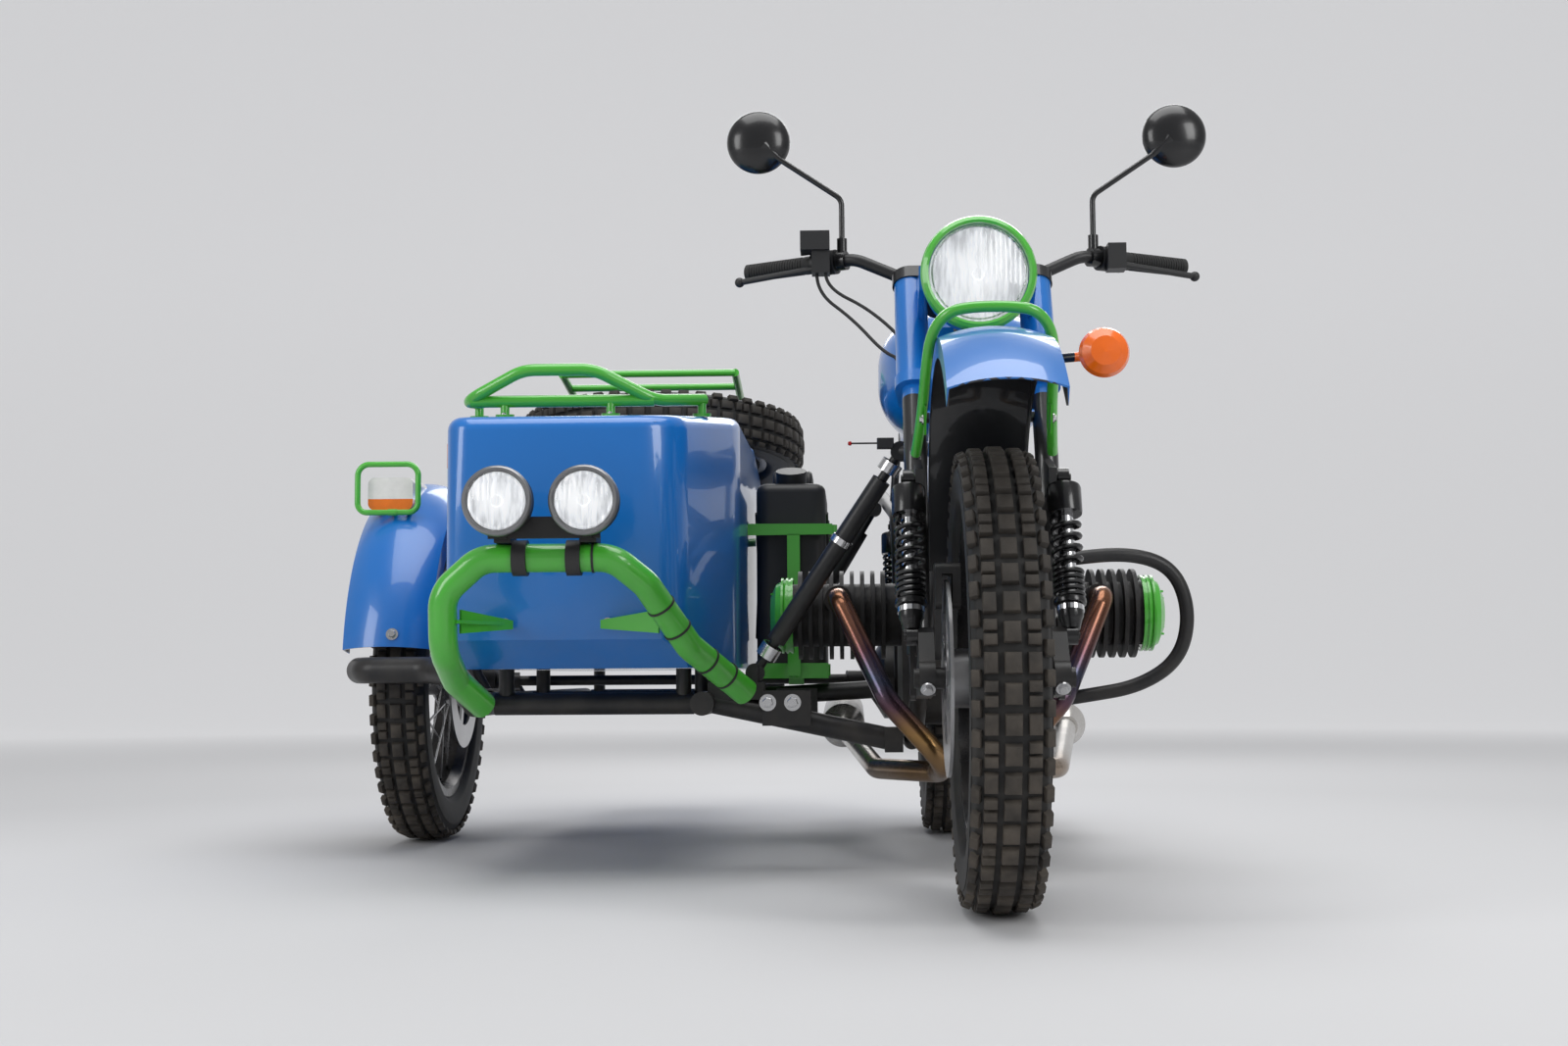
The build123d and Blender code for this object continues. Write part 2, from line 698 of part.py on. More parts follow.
# points along each cable, then the bend at each inner point
CABLES = (
    (
        [
            POD_MID + Vector(-15, -32, -26 - RUN),
            POD_MID + Vector(-15, -32, -60),
            bike(-205, 455, 975),
            bike(-152, 400, 905),
            stem_point(*CABLE_SEATS[0], 70),
            stem_point(*CABLE_SEATS[0], YOKE_TOP),
        ],
        [18, 40, 40, 40],
    ),
    (
        [
            POD_MID + Vector(1, -36, -26 - RUN),
            POD_MID + Vector(1, -36, -52),
            bike(-172, 452, 990),
            stem_point(*CABLE_SEATS[1], 100),
            stem_point(*CABLE_SEATS[1], YOKE_TOP),
        ],
        [20, 40, 40],
    ),
)
with BuildPart() as cables:
    for points, bends in CABLES:
        tube(points, CABLE_R, bend=bends)
save(cables.part, "cables")

# ---- Motorcycle frame ----
REAR_SHOCK_X = 116.0
REAR_SHOCK_TOP = (1484.0, 688.0)
REAR_SHOCK_LOW = (1450.0, 464.0)
SEAT_RAIL_X = 112.0
LOOP = [
    (30, 400, 845),
    (RAIL_X, 512, RAIL_Z),
    (RAIL_X, 1190, RAIL_Z),
    (RAIL_X + 5, 1235, 690),
    (SEAT_RAIL_X + 22, 1830, 790),
]
HEAD_FOOT, HEAD_TOP = stem_point(0, 0, 0), stem_point(0, 0, HEAD_LENGTH)
BACKBONE = [(0, 435, 905), (0, 620, 845), (0, 1215, 702)]
BACKBONE_R = 20.0
TUNNEL_ROOF = ((470, 925), (620, 875), (970, 790))


def loop_tube(side, r, mode=Mode.ADD):
    """Adds the frame's main tube on one side, or cuts its seat."""
    tube([bike(side * x, y, z) for x, y, z in LOOP], r, bend=[120, 110, 110], mode=mode)


for side, label in ((-1, "right"), (1, "left")):
    with BuildPart() as loop:
        loop_tube(side, FRAME_TUBE)
        x = side * RAIL_X
        rod(bike(x, 1230, 660), bike(x + side * 10, 1560, 742), 11)
        eye_y, eye_z = REAR_SHOCK_TOP
        x_in = REAR_SHOCK_X - 12
        side_plate(
            *sorted((side * (x_in - 10), side * (x_in - RUN))),
            [
                (eye_y - 16, eye_z + 50),
                (eye_y + 16, eye_z + 50),
                (eye_y + 11, eye_z - 11),
                (eye_y - 11, eye_z - 11),
            ],
        )
        rod(bike(side * (x_in - 9), eye_y, eye_z), bike(side * (REAR_SHOCK_X + 11), eye_y, eye_z), PIN_R)
        rod(bike(side * 114, 1490, 736), bike(side * 106, 1490, 840.4), 9)
        rod(HEAD_FOOT, HEAD_TOP, HEAD_R + RUN, mode=Mode.SUBTRACT)
    save(loop.part, f"frame_loop_{label}")

with BuildPart() as spine:
    rod(HEAD_FOOT, HEAD_TOP, HEAD_R)
    tube([bike(*point) for point in BACKBONE], BACKBONE_R, bend=[300])
    rod(bike(-92, 1215, 702), bike(92, 1215, 702), 13)
    rod(bike(0, 1060, 735), bike(0, 1060, 809.8), 14)
    for (y0, z0), (y1, z1) in ((TUNNEL_ROOF[0], TUNNEL_ROOF[1]), (TUNNEL_ROOF[1], TUNNEL_ROOF[2])):
        slope = (z1 - z0) / (y1 - y0)
        for y in (0.65 * y0 + 0.35 * y1, 0.2 * y0 + 0.8 * y1):
            top = z0 + slope * (y - y0) - 0.5
            side_plate(-24, 24, [(y, top), (y + 34, top + 34 * slope), (y + 34, top - 34), (y, top - 30)])
    rod(HEAD_FOOT, HEAD_TOP, STEM_R + RUN, mode=Mode.SUBTRACT)
save(spine.part, "frame_spine")

# ---- Engine ----
CASE_HALF = 122.0
FINS = 9
FIN_THICK = 4.5
FIN_START = 150.0
PORT = (236.0, 606.0, 488.0)

with BuildPart() as engine:
    with BuildSketch(Plane(origin=bike(-CASE_HALF, 0, 0), x_dir=(0, 1, 0), z_dir=(1, 0, 0))) as side_face:
        with BuildLine():
            Polyline(
                (560, 280),
                (560, 500),
                (600, 590),
                (760, 640),
                (900, 640),
                (930, 560),
                (930, 262),
                (580, 262),
                close=True,
            )
        make_face()
        fillet(side_face.vertices(), 22)
    extrude(amount=2 * CASE_HALF)
    with BuildSketch(Plane(origin=bike(-88, 0, 0), x_dir=(0, 1, 0), z_dir=(1, 0, 0))) as gearbox_face:
        with BuildLine():
            Polyline((910, 275), (910, 610), (1020, 560), (1104, 470), (1104, 350), (1060, 275), close=True)
        make_face()
        fillet(gearbox_face.vertices(), 20)
    extrude(amount=176)
    for side in (-1, 1):
        for y in (640, 880):
            block(*span(side, 90, 118, (y, RAIL_Z + FRAME_TUBE + RUN), (y + 34, 276)))
save(engine.part, "engine_block")

with BuildPart() as cylinders:
    for side in (-1, 1):
        middle = bike(0, ENGINE_Y, ENGINE_Z)
        out = Vector(side, 0, 0)
        pitch = (HEAD_X - FIN_START) / FINS
        outline = [(CASE_HALF, 0), (CASE_HALF, 58)]
        for k in range(FINS):
            start = FIN_START + k * pitch
            end = start + FIN_THICK + 3
            outline += [(start, 58), (start, FIN_R), (end, FIN_R), (end, 58)]
        outline += [(HEAD_X, 58), (HEAD_X, 0)]
        turned(middle, out, outline)
        x, y, z = PORT
        rod(bike(side * x, ENGINE_Y, z), bike(side * x, y + RUN, z), 25)
save(cylinders.part, "cylinders")

with BuildPart() as valve_covers:
    for side in (-1, 1):
        turned(
            bike(side * HEAD_X, ENGINE_Y, ENGINE_Z),
            (side, 0, 0),
            [(0, 0), (0, 68), (12, 68), (30, 58), (COVER_DEPTH, 36), (COVER_DEPTH, 0)],
        )
save(valve_covers.part, "valve_covers")

# ---- Exhaust ----
PIPE_R = 19.0
SILENCER_R = 46.0
SILENCER_X = 232.0
SILENCER_Z = 242.0
with BuildPart() as exhaust:
    for side in (-1, 1):
        x, y, z = PORT
        tube(
            [
                bike(side * x, y, z),
                bike(side * x, y - 62, z),
                bike(side * 150, 455, 305),
                bike(side * 52, 455, 196),
                bike(side * 60, 560, 178),
                bike(side * 168, 700, 178),
                bike(side * SILENCER_X, 1130, SILENCER_Z),
            ],
            PIPE_R,
            bend=[32, 70, 50, 40, 60],
        )
        turned(
            bike(side * SILENCER_X, 1130, SILENCER_Z),
            (0, 1, 0.05),
            [(-10, 0), (-10, 22), (60, SILENCER_R), (520, SILENCER_R), (560, 24), (610, 22), (610, 0)],
        )
save(exhaust.part, "exhaust")

GUARD_R = 12.5
with BuildPart() as engine_guard:
    tube(
        [
            bike(72, 456, 536),
            bike(190, 466, 556),
            bike(318, 478, 545),
            bike(372, 488, 455),
            bike(318, 496, 345),
            bike(210, 500, 318),
            bike(100, 504, 298),
        ],
        GUARD_R,
        bend=[60, 62, 62, 62, 80],
    )
    loop_tube(1, FRAME_TUBE + RUN, mode=Mode.SUBTRACT)
save(engine_guard.part, "engine_guard")

# ---- Tank, seat, rear end ----
# how far behind the front axle, half width, underside, top
TANK = ((496, 94, 838, 966), (570, 142, 798, 1003), (760, 150, 790, 1005), (960, 112, 790, 900))
TUNNEL = 32.0
with BuildPart() as tank:
    for y, half_width, low, high in TANK:
        with BuildSketch(Plane(origin=bike(0, y, (low + high) / 2), x_dir=(1, 0, 0), z_dir=(0, 1, 0))):
            RectangleRounded(2 * half_width, high - low, 0.42 * (high - low))
    loft()
    with BuildSketch(Plane(origin=bike(-TUNNEL, 0, 0), x_dir=(0, 1, 0), z_dir=(1, 0, 0))):
        with BuildLine():
            Polyline((470, 760), *TUNNEL_ROOF, (970, 760), close=True)
        make_face()
    extrude(amount=2 * TUNNEL, mode=Mode.SUBTRACT)
save(tank.part, "fuel_tank")

with BuildPart() as saddle:
    with BuildSketch(Plane(origin=bike(-118, 0, 0), x_dir=(0, 1, 0), z_dir=(1, 0, 0))) as saddle_side:
        with BuildLine():
            Polyline(
                (975, 812),
                (975, 850),
                (1060, 868),
                (1240, 862),
                (1320, 902),
                (1560, 912),
                (1560, 856),
                (1300, 806),
                close=True,
            )
        make_face()
        fillet(saddle_side.vertices(), 14)
    extrude(amount=236)
    fillet(saddle.faces().filter_by(Axis.X).edges(), 8)
save(saddle.part, "saddle")

REAR_FENDER_R = 405.0
REAR_FENDER_WIDTH = 168.0
with BuildPart() as rear_fender:
    rear_axle = bike(0, WHEELBASE, TYRE_R)
    arch = fender_section(rear_axle, REAR_FENDER_R, 48, REAR_FENDER_WIDTH, 60, SHEET)
    revolve(arch, axis=Axis(rear_axle, (-1, 0, 0)), revolution_arc=150)
    half = REAR_FENDER_WIDTH / 2
    for side in (-1, 1):
        block(*span(side, half - 2, 103.4, (1546, 706), (1576, 748)))
save(rear_fender.part, "rear_fender")

ARM_PIVOT = (1213.0, 332.0)
CARRIER_IN = 80.0
with BuildPart() as swingarm:
    for side in (-1, 1):
        tube(
            [
                bike(side * 74, *ARM_PIVOT),
                bike(side * 74, 1275, 335),
                bike(side * 93, 1330, 338),
                bike(side * 93, WHEELBASE - 20, TYRE_R),
            ],
            12,
            bend=[80, 80],
        )
        rod(bike(side * 62, *ARM_PIVOT), bike(side * RAIL_X, *ARM_PIVOT), 20)
        loop_tube(side, FRAME_TUBE + RUN, mode=Mode.SUBTRACT)
        rod(bike(side * CARRIER_IN, WHEELBASE, TYRE_R), bike(side * 106, WHEELBASE, TYRE_R), 34)
        lug_y, lug_z = REAR_SHOCK_LOW
        side_plate(
            *sorted((side * 88, side * 98)),
            [(1430, 345), (1490, 345), (lug_y + 12, lug_z + 11), (lug_y - 12, lug_z + 11)],
        )
        rod(bike(side * 90, lug_y, lug_z), bike(side * (REAR_SHOCK_X + 11), lug_y, lug_z), PIN_R)
    rod(bike(-150, WHEELBASE, TYRE_R), bike(106, WHEELBASE, TYRE_R), AXLE_R)
    rod(bike(-HUB_END - 0.5, WHEELBASE, TYRE_R), bike(-CARRIER_IN, WHEELBASE, TYRE_R), AXLE_R + 6)
    turned(
        bike(0, WHEELBASE, TYRE_R),
        (-1, 0, 0),
        [(84, 0), (84, 62), (104, 92), (140, 92), (160, 60), (178, 34), (178, 0)],
    )
save(swingarm.part, "swingarm")

with BuildPart() as rear_shocks:
    for side in (-1, 1):
        x = side * REAR_SHOCK_X
        shock(bike(x, *REAR_SHOCK_TOP), bike(x, *REAR_SHOCK_LOW), 20)
save(rear_shocks.part, "rear_shocks")


def under_fender(centre, r, half, crown):
    """Cuts away all that lies inside a fender's outer face."""
    with BuildSketch(Plane(origin=centre, x_dir=(0, 0, 1), z_dir=(0, 1, 0))) as disc:
        with BuildLine():
            Polyline((0, half), (0, -half), (r - crown, -half))
            ThreePointArc((r - crown, -half), (r, 0), (r - crown, half))
            Line((r - crown, half), (0, half))
        make_face()
    revolve(disc.sketch, axis=Axis(centre, (-1, 0, 0)), mode=Mode.SUBTRACT)


TAIL_Z = TYRE_R + 291
TAIL_Y = (WHEELBASE + 220, WHEELBASE + 342)
with BuildPart() as tail_lamp:
    block(bike(-48, TAIL_Y[0], TAIL_Z - 32), bike(48, TAIL_Y[1], TAIL_Z + 34))
    fillet(tail_lamp.edges().filter_by(Axis.Y), 8)
    under_fender(rear_axle, REAR_FENDER_R + RUN, REAR_FENDER_WIDTH / 2, CROWN)
save(tail_lamp.part, "tail_lamp")

# ---- Sidecar chassis ----
RAIL_IN = -(BODY_IN + 52)
RAIL_OUT = -(BODY_OUT - 45)
RAIL_ENDS = (500.0, 1900.0)
SIDE_AXLE = WHEELBASE - SIDE_LEAD
STUB_Y = 560.0
STUB_REAR = 1200.0

with BuildPart() as chassis_rails:
    for x in (RAIL_IN, RAIL_OUT):
        rod(bike(x, RAIL_ENDS[0], CHASSIS_Z), bike(x, RAIL_ENDS[1], CHASSIS_Z), CHASSIS_R)

# y, height and radius of each tube that crosses between the rails
CROSS = ((590, CHASSIS_Z, 20), (1000, CHASSIS_Z, 20), (1860, CHASSIS_Z, 18))
with BuildPart() as chassis_crosses:
    for y, z, r in CROSS:
        rod(bike(RAIL_OUT + CHASSIS_R, y, z), bike(RAIL_IN - CHASSIS_R, y, z), r)
    for x in (RAIL_IN, RAIL_OUT):
        rod(
            bike(x, RAIL_ENDS[0], CHASSIS_Z),
            bike(x, RAIL_ENDS[1], CHASSIS_Z),
            CHASSIS_R + RUN,
            mode=Mode.SUBTRACT,
        )
        post_x = (x * 0.8 + BODY_MID * 0.2)
        for y, z, r in CROSS:
            rod(bike(post_x, y, z), bike(post_x, y, BODY_LOW - 0.4), 14)
    add(chassis_rails.part)
save(chassis_crosses.part, "sidecar_chassis")

HOOP_TUBE = 26.0
STAY_R = 11.0
HOOP_Z = 366.0
with BuildPart() as wheel_hoop:
    tube(
        [
            bike(RAIL_OUT - CHASSIS_R - 14, 690, CHASSIS_Z + 6),
            bike(-985, 800, HOOP_Z - 6),
            bike(-1040, 858, HOOP_Z),
            bike(-1168, 872, HOOP_Z),
            bike(-1196, 924, HOOP_Z),
        ],
        HOOP_TUBE,
        bend=[60, 70, 32],
    )
    rod(bike(RAIL_OUT - 10, 690, CHASSIS_Z + 4), bike(-940, 742, CHASSIS_Z + 12), 20)
    for y in (SIDE_AXLE - 190, SIDE_AXLE + 190):
        tube(
            [
                bike(RAIL_OUT - CHASSIS_R - RUN, y, CHASSIS_Z),
                bike(-966, y, CHASSIS_Z),
                bike(-1000, y, CHASSIS_Z + 60),
                bike(-1041.4, y, 590),
                bike(-1041.4, y, 684),
            ],
            STAY_R,
            bend=[34, 60, 60],
        )
    rod(
        bike(RAIL_OUT, RAIL_ENDS[0], CHASSIS_Z),
        bike(RAIL_OUT, RAIL_ENDS[1], CHASSIS_Z),
        CHASSIS_R + RUN,
        mode=Mode.SUBTRACT,
    )
save(wheel_hoop.part, "wheel_hoop")

# lower joints: y, height at the motorcycle, tube radius
JOINTS = ((STUB_Y, 236.0, 20.0), (STUB_REAR, 322.0, 19.0))
# upper struts: motorcycle end, sidecar end
STRUTS = (
    ((-124, 474, 742), (-386, 566, 356)),
    ((-157, 1560, 735), (-386, 1560, 356)),
)
STRUT_R = 17.0
FRAME_SIDE = RAIL_X + FRAME_TUBE
with BuildPart() as mounts:
    for y, z, r in JOINTS:
        rod(bike(-FRAME_SIDE - 20, y, z), bike(RAIL_IN + CHASSIS_R - 6, y, CHASSIS_Z + 2), r)
        block(bike(-FRAME_SIDE - 1.6, y - 26, z - 22), bike(-FRAME_SIDE - 34, y + 26, z + 22))
        block(bike(-372, y - 30, CHASSIS_Z - 40), bike(-286, y + 30, CHASSIS_Z + 22))
    for start, end in STRUTS:
        start, end = bike(*start), bike(*end)
        run = (end - start).normalized()
        rod(start, end, 9)
        rod(start + run * 60, end - run * 70, STRUT_R)
        across = Vector(0, 12, 0)
        rod(start - across, start + across, STRUT_R)
        rod(end - across, end + across, STRUT_R)
        block(end + Vector(-84, -24, -48), end + Vector(17, 24, -STRUT_R))
        block(end + Vector(-6, -22, -30), end + Vector(6, -13, 10))
        block(end + Vector(-6, 13, -30), end + Vector(6, 22, 10))
    rod(bike(-46, 426, 742), bike(-124, 474, 742), 12)
    for run, r in (
        ((bike(RAIL_IN, RAIL_ENDS[0], CHASSIS_Z), bike(RAIL_IN, RAIL_ENDS[1], CHASSIS_Z)), CHASSIS_R),
        ((bike(-30, 400, 845), bike(-RAIL_X, 512, RAIL_Z)), FRAME_TUBE),
    ):
        rod(*run, r + RUN, mode=Mode.SUBTRACT)
save(mounts.part, "sidecar_mounts")

# ---- Sidecar body ----
CORNER_OUT = 46.0
CORNER_IN = 95.0
FLANK_BEND = 300.0
TAIL_CORNER = 130.0


def body_plan(grow):
    """The body's outline seen from above, offset by grow."""
    with BuildSketch() as plan:
        with BuildLine():
            FilletPolyline(
                bike(-BODY_OUT, BULKHEAD, 0),
                bike(-BODY_OUT, BODY_FRONT, 0),
                bike(-BODY_IN - 95, BODY_FRONT, 0),
                bike(-BODY_IN, BODY_FRONT + 330, 0),
                bike(-BODY_IN, BODY_REAR, 0),
                bike(-BODY_OUT, BODY_REAR, 0),
                bike(-BODY_OUT, BULKHEAD + 100, 0),
                radius=[CORNER_OUT, CORNER_IN, FLANK_BEND, TAIL_CORNER, TAIL_CORNER],
            )
            Line(bike(-BODY_OUT, BULKHEAD + 100, 0), bike(-BODY_OUT, BULKHEAD, 0))
        make_face()
        if grow:
            offset(amount=grow, kind=Kind.INTERSECTION)
    return plan.sketch


def rim_height(y):
    """Height of the trunk's rim under the lid, y behind the front axle."""
    slope = tan(radians(SPARE_TILT))
    return LID_Z - (LID_THICK + 0.4) / SPARE_AXIS.Z - (y - HINGE_Y) * slope


def body_side(grow):
    """The body's outline seen from the side, offset by grow."""
    with BuildSketch(Plane(origin=bike(0, 0, 0), x_dir=(0, 1, 0), z_dir=(1, 0, 0))) as profile:
        with BuildLine():
            Polyline(
                (BODY_FRONT + 70, BODY_LOW),
                (BODY_FRONT + 16, BODY_LOW + 50),
                (BODY_FRONT, BODY_LOW + 210),
                (BODY_FRONT, NOSE_TOP),
                (BODY_FRONT + 380, DECK_TOP),
                (BULKHEAD + 8, rim_height(BULKHEAD + 8)),
                (BODY_REAR, rim_height(BODY_REAR)),
                (BODY_REAR, BODY_LOW + 120),
                (BODY_REAR - 110, BODY_LOW),
                close=True,
            )
        make_face()
        if grow:
            offset(amount=grow, kind=Kind.INTERSECTION)
    return profile.sketch


HINGES = (-120.0, 120.0)
KNUCKLE = 56.0
KNUCKLE_R = 7.0
HINGE_PIN = 4.0
COCKPIT = (845.0, BULKHEAD - 24)  # opening, front and rear
TRUNK = (BULKHEAD + 40, BODY_REAR - 90)
RIM = 34.0  # deck left inside the body's edge round an opening

with BuildPart() as body:
    extrude(body_plan(0), amount=1000)
    extrude(body_side(0), amount=2000, both=True, mode=Mode.INTERSECT)
    room = Part() + extrude(body_plan(-WALL), amount=1000, mode=Mode.PRIVATE)
    room &= extrude(body_side(-WALL), amount=2000, both=True, mode=Mode.PRIVATE)
    wall_y = FRONT_Y + BULKHEAD + WALL / 2
    room -= Pos(BIKE_X + BODY_MID, wall_y, 500) * Box(900, WALL, 1200, mode=Mode.PRIVATE)
    add(room, mode=Mode.SUBTRACT)
    for y0, y1 in (COCKPIT, TRUNK):
        with BuildSketch(Plane.XY.offset(BODY_LOW + 300)):
            with Locations((BIKE_X + BODY_MID, FRONT_Y + (y0 + y1) / 2)):
                RectangleRounded(BODY_OUT - BODY_IN - 2 * RIM, y1 - y0, 60)
        extrude(amount=600, mode=Mode.SUBTRACT)
    hinge = bike(BODY_MID, HINGE_Y, LID_Z)
    for x in HINGES:
        rod(hinge + Vector(x - KNUCKLE / 2 - 14, 0, 0), hinge + Vector(x + KNUCKLE / 2 + 14, 0, 0), HINGE_PIN)
        for end in (-1, 1):
            low = hinge + Vector(x + end * (KNUCKLE / 2 + 9), 0, 0)
            block(low + Vector(-5, -7, -28), low + Vector(5, 7, 0))
            rod(low + Vector(-5, 0, 0), low + Vector(5, 0, 0), KNUCKLE_R)

# the shell is welded from panels: floor, walls and deck, left and right, in three lengths
SEAMS = (COCKPIT[0] - 90, COCKPIT[1] - 10)
with BuildPart() as shell:
    add(body.part)
    for z in (BODY_LOW + WALL, rim_height(BODY_REAR) - WALL):
        split(bisect_by=Plane.XY.offset(z), keep=Keep.BOTH)
    split(bisect_by=Plane(origin=bike(BODY_MID, 0, 0), z_dir=(1, 0, 0)), keep=Keep.BOTH)
    for y in SEAMS:
        split(bisect_by=Plane(origin=bike(0, y, 0), z_dir=(0, 1, 0)), keep=Keep.BOTH)
save(shell.part, "sidecar_body")

# ---- Inside the sidecar ----
INSIDE_OUT = -(BODY_OUT - WALL - 4)
INSIDE_IN = -(BODY_IN + WALL + 4)
FLOOR = BODY_LOW + WALL
SEAT_BACK = BULKHEAD - 88  # front of the backrest
SEAT_LONG = 340.0
SEAT_HIGH = 190.0
with BuildPart() as seat_base:
    seat_front = SEAT_BACK - 2 - SEAT_LONG
    block(bike(INSIDE_OUT, seat_front, FLOOR + RUN), bike(INSIDE_IN, SEAT_BACK - 2, FLOOR + SEAT_HIGH))
    fillet(seat_base.edges().group_by(Axis.Z)[-1], 30)

with BuildPart() as seat_back:
    add(seat_base.part)
    with BuildSketch(Plane(origin=bike(INSIDE_OUT, 0, 0), x_dir=(0, 1, 0), z_dir=(1, 0, 0))):
        with BuildLine():
            Polyline(
                (SEAT_BACK, FLOOR + RUN),
                (SEAT_BACK, FLOOR + SEAT_HIGH + 10),
                (SEAT_BACK + 20, 800),
                (SEAT_BACK + 30, LID_Z - 34),
                (BULKHEAD - RUN, LID_Z - 34),
                (BULKHEAD - RUN, FLOOR + RUN),
                close=True,
            )
        make_face()
    extrude(amount=INSIDE_IN - INSIDE_OUT)
save(seat_back.part, "sidecar_seat")

# ---- Nose rail, bumper, driving lamps ----
NOSE_RAIL_R = 11.0
RAIL_LOW = 850.0
DECK_SLOPE = (DECK_TOP - NOSE_TOP) / 380


def deck(y):
    """Height of the nose deck y behind the front axle."""
    return NOSE_TOP + (y - BODY_FRONT) * DECK_SLOPE


with BuildPart() as nose_rail:
    tube(
        [
            bike(-905, 660, RAIL_LOW + 12),
            bike(-908, 548, RAIL_LOW),
            bike(-800, 520, 902),
            bike(-672, 520, 902),
            bike(-566, 556, RAIL_LOW),
            bike(-482, 640, RAIL_LOW + 12),
        ],
        NOSE_RAIL_R,
        bend=[40, 90, 90, 70],
    )
    tube([bike(-900, 552, RAIL_LOW), bike(-566, 556, RAIL_LOW)], NOSE_RAIL_R)
    up = Vector(0, -DECK_SLOPE, 1).normalized()
    for x, y in ((-838, 553), (-645, 553), (-904, 650), (-486, 634)):
        rod(bike(x, y, deck(y)) + up * 2, bike(x, y, RAIL_LOW + 4), 8)
        rod(bike(x, y, deck(y)) + up * 0.4, bike(x, y, deck(y)) + up * 6, 17)
save(nose_rail.part, "nose_rail")

BUMPER_R = 24.0
BUMPER_TOP = 548.0
GUSSET_Z = 440.0
with BuildPart() as bumper:
    tube(
        [
            bike(-862, 486, CHASSIS_Z),
            bike(-893, 404, 345),
            bike(-893, 300, 396),
            bike(-893, 290, 490),
            bike(-828, 290, BUMPER_TOP),
            bike(-608, 290, BUMPER_TOP),
            bike(-556, 318, 505),
            bike(-490, 392, 402),
            bike(-400, 498, 322),
        ],
        BUMPER_R,
        bend=[34, 60, 60, 60, 60, 60, 60],
    )
    face_y = BODY_FRONT - 0.6
    for corners in (
        ((-886, 300), (-866, 284), (-800, face_y), (-834, face_y)),
        ((-502, 360), (-528, 384), (-614, face_y), (-646, face_y)),
    ):
        with BuildSketch(Plane.XY.offset(GUSSET_Z)) as gusset:
            with BuildLine():
                Polyline(*[bike(x, y, 0) for x, y in corners], close=True)
            make_face()
        extrude(gusset.sketch, amount=6)
save(bumper.part, "bumper")

DRIVE_LAMPS = (-788.0, -646.0)
DRIVE_Y = 214.0
DRIVE_Z = 637.0
DRIVE_R = 57.0
with BuildPart() as driving_lamps:
    for x in DRIVE_LAMPS:
        turned(
            bike(x, DRIVE_Y, DRIVE_Z),
            (0, 1, 0),
            [
                (0, 0),
                (0, DRIVE_R - 5),
                (-5, DRIVE_R - 4),
                (-5, DRIVE_R),
                (22, DRIVE_R),
                (50, 46),
                (74, 24),
                (78, 0),
            ],
        )
        block(bike(x - 10, 244, BUMPER_TOP + 30), bike(x + 10, 290, DRIVE_Z - DRIVE_R + 12))
        block(bike(x - 14, 262, BUMPER_TOP + BUMPER_R + RUN), bike(x + 14, 318, BUMPER_TOP + BUMPER_R + 14))
    block(bike(DRIVE_LAMPS[0] - 22, 250, BUMPER_TOP + 30), bike(DRIVE_LAMPS[1] + 22, 256, BUMPER_TOP + 66))
    for x in (-762, -672):
        rod(bike(x - 12, 290, BUMPER_TOP), bike(x + 12, 290, BUMPER_TOP), BUMPER_R + 6)
    rod(bike(-828, 290, BUMPER_TOP), bike(-608, 290, BUMPER_TOP), BUMPER_R + RUN, mode=Mode.SUBTRACT)
save(driving_lamps.part, "driving_lamps")

with BuildPart() as lamp_lenses:
    for x in DRIVE_LAMPS:
        turned(
            bike(x, DRIVE_Y - RUN, DRIVE_Z),
            (0, -1, 0),
            [(0, 0), (0, DRIVE_R - 5), (4, DRIVE_R - 6), (11, 30), (13, 0)],
        )
save(lamp_lenses.part, "driving_lenses")

# ---- Sidecar wheel's fender, lamp, arm and drive ----
SIDE_FENDER_R = 432.0
SIDE_FENDER_WIDTH = 176.0
FENDER_CROWN = 34.0
with BuildPart() as side_fender:
    hub = bike(-TRACK - 6, SIDE_AXLE, TYRE_R)
    arch = fender_section(hub, SIDE_FENDER_R, 9, SIDE_FENDER_WIDTH, 78, SHEET, crown=FENDER_CROWN)
    revolve(arch, axis=Axis(hub, (-1, 0, 0)), revolution_arc=162)
save(side_fender.part, "sidecar_fender")

MARKER_Z = TYRE_R + 388
GUARD = (1030.0, 692.0, 792.0, -1106.0, -1232.0)
RING_R = 6.0
with BuildPart() as marker_lamp:
    block(bike(-1216, 1052, MARKER_Z - 34), bike(-1122, 1190, MARKER_Z + 34))
    fillet(marker_lamp.edges().filter_by(Axis.Y), 14)
    under_fender(hub, SIDE_FENDER_R + RUN, SIDE_FENDER_WIDTH / 2, FENDER_CROWN)
save(marker_lamp.part, "marker_lamp")

with BuildPart() as lamp_guard:
    y, low, high, x_in, x_out = GUARD
    tube(
        [
            bike(-1160, y, low),
            bike(x_out, y, low),
            bike(x_out, y, high),
            bike(x_in, y, high),
            bike(x_in, y, low),
            bike(-1157, y, low),
        ],
        RING_R,
        bend=[20, 24, 24, 20],
    )
    rod(bike(-1168, y, low), bike(-1149, y, low), RING_R + 1)
    for x in (-1158, -1128):
        rod(bike(x, y, low), bike(x, y + 60, low), RING_R - 1)
    under_fender(hub, SIDE_FENDER_R + RUN, SIDE_FENDER_WIDTH / 2, FENDER_CROWN)
save(lamp_guard.part, "lamp_guard")

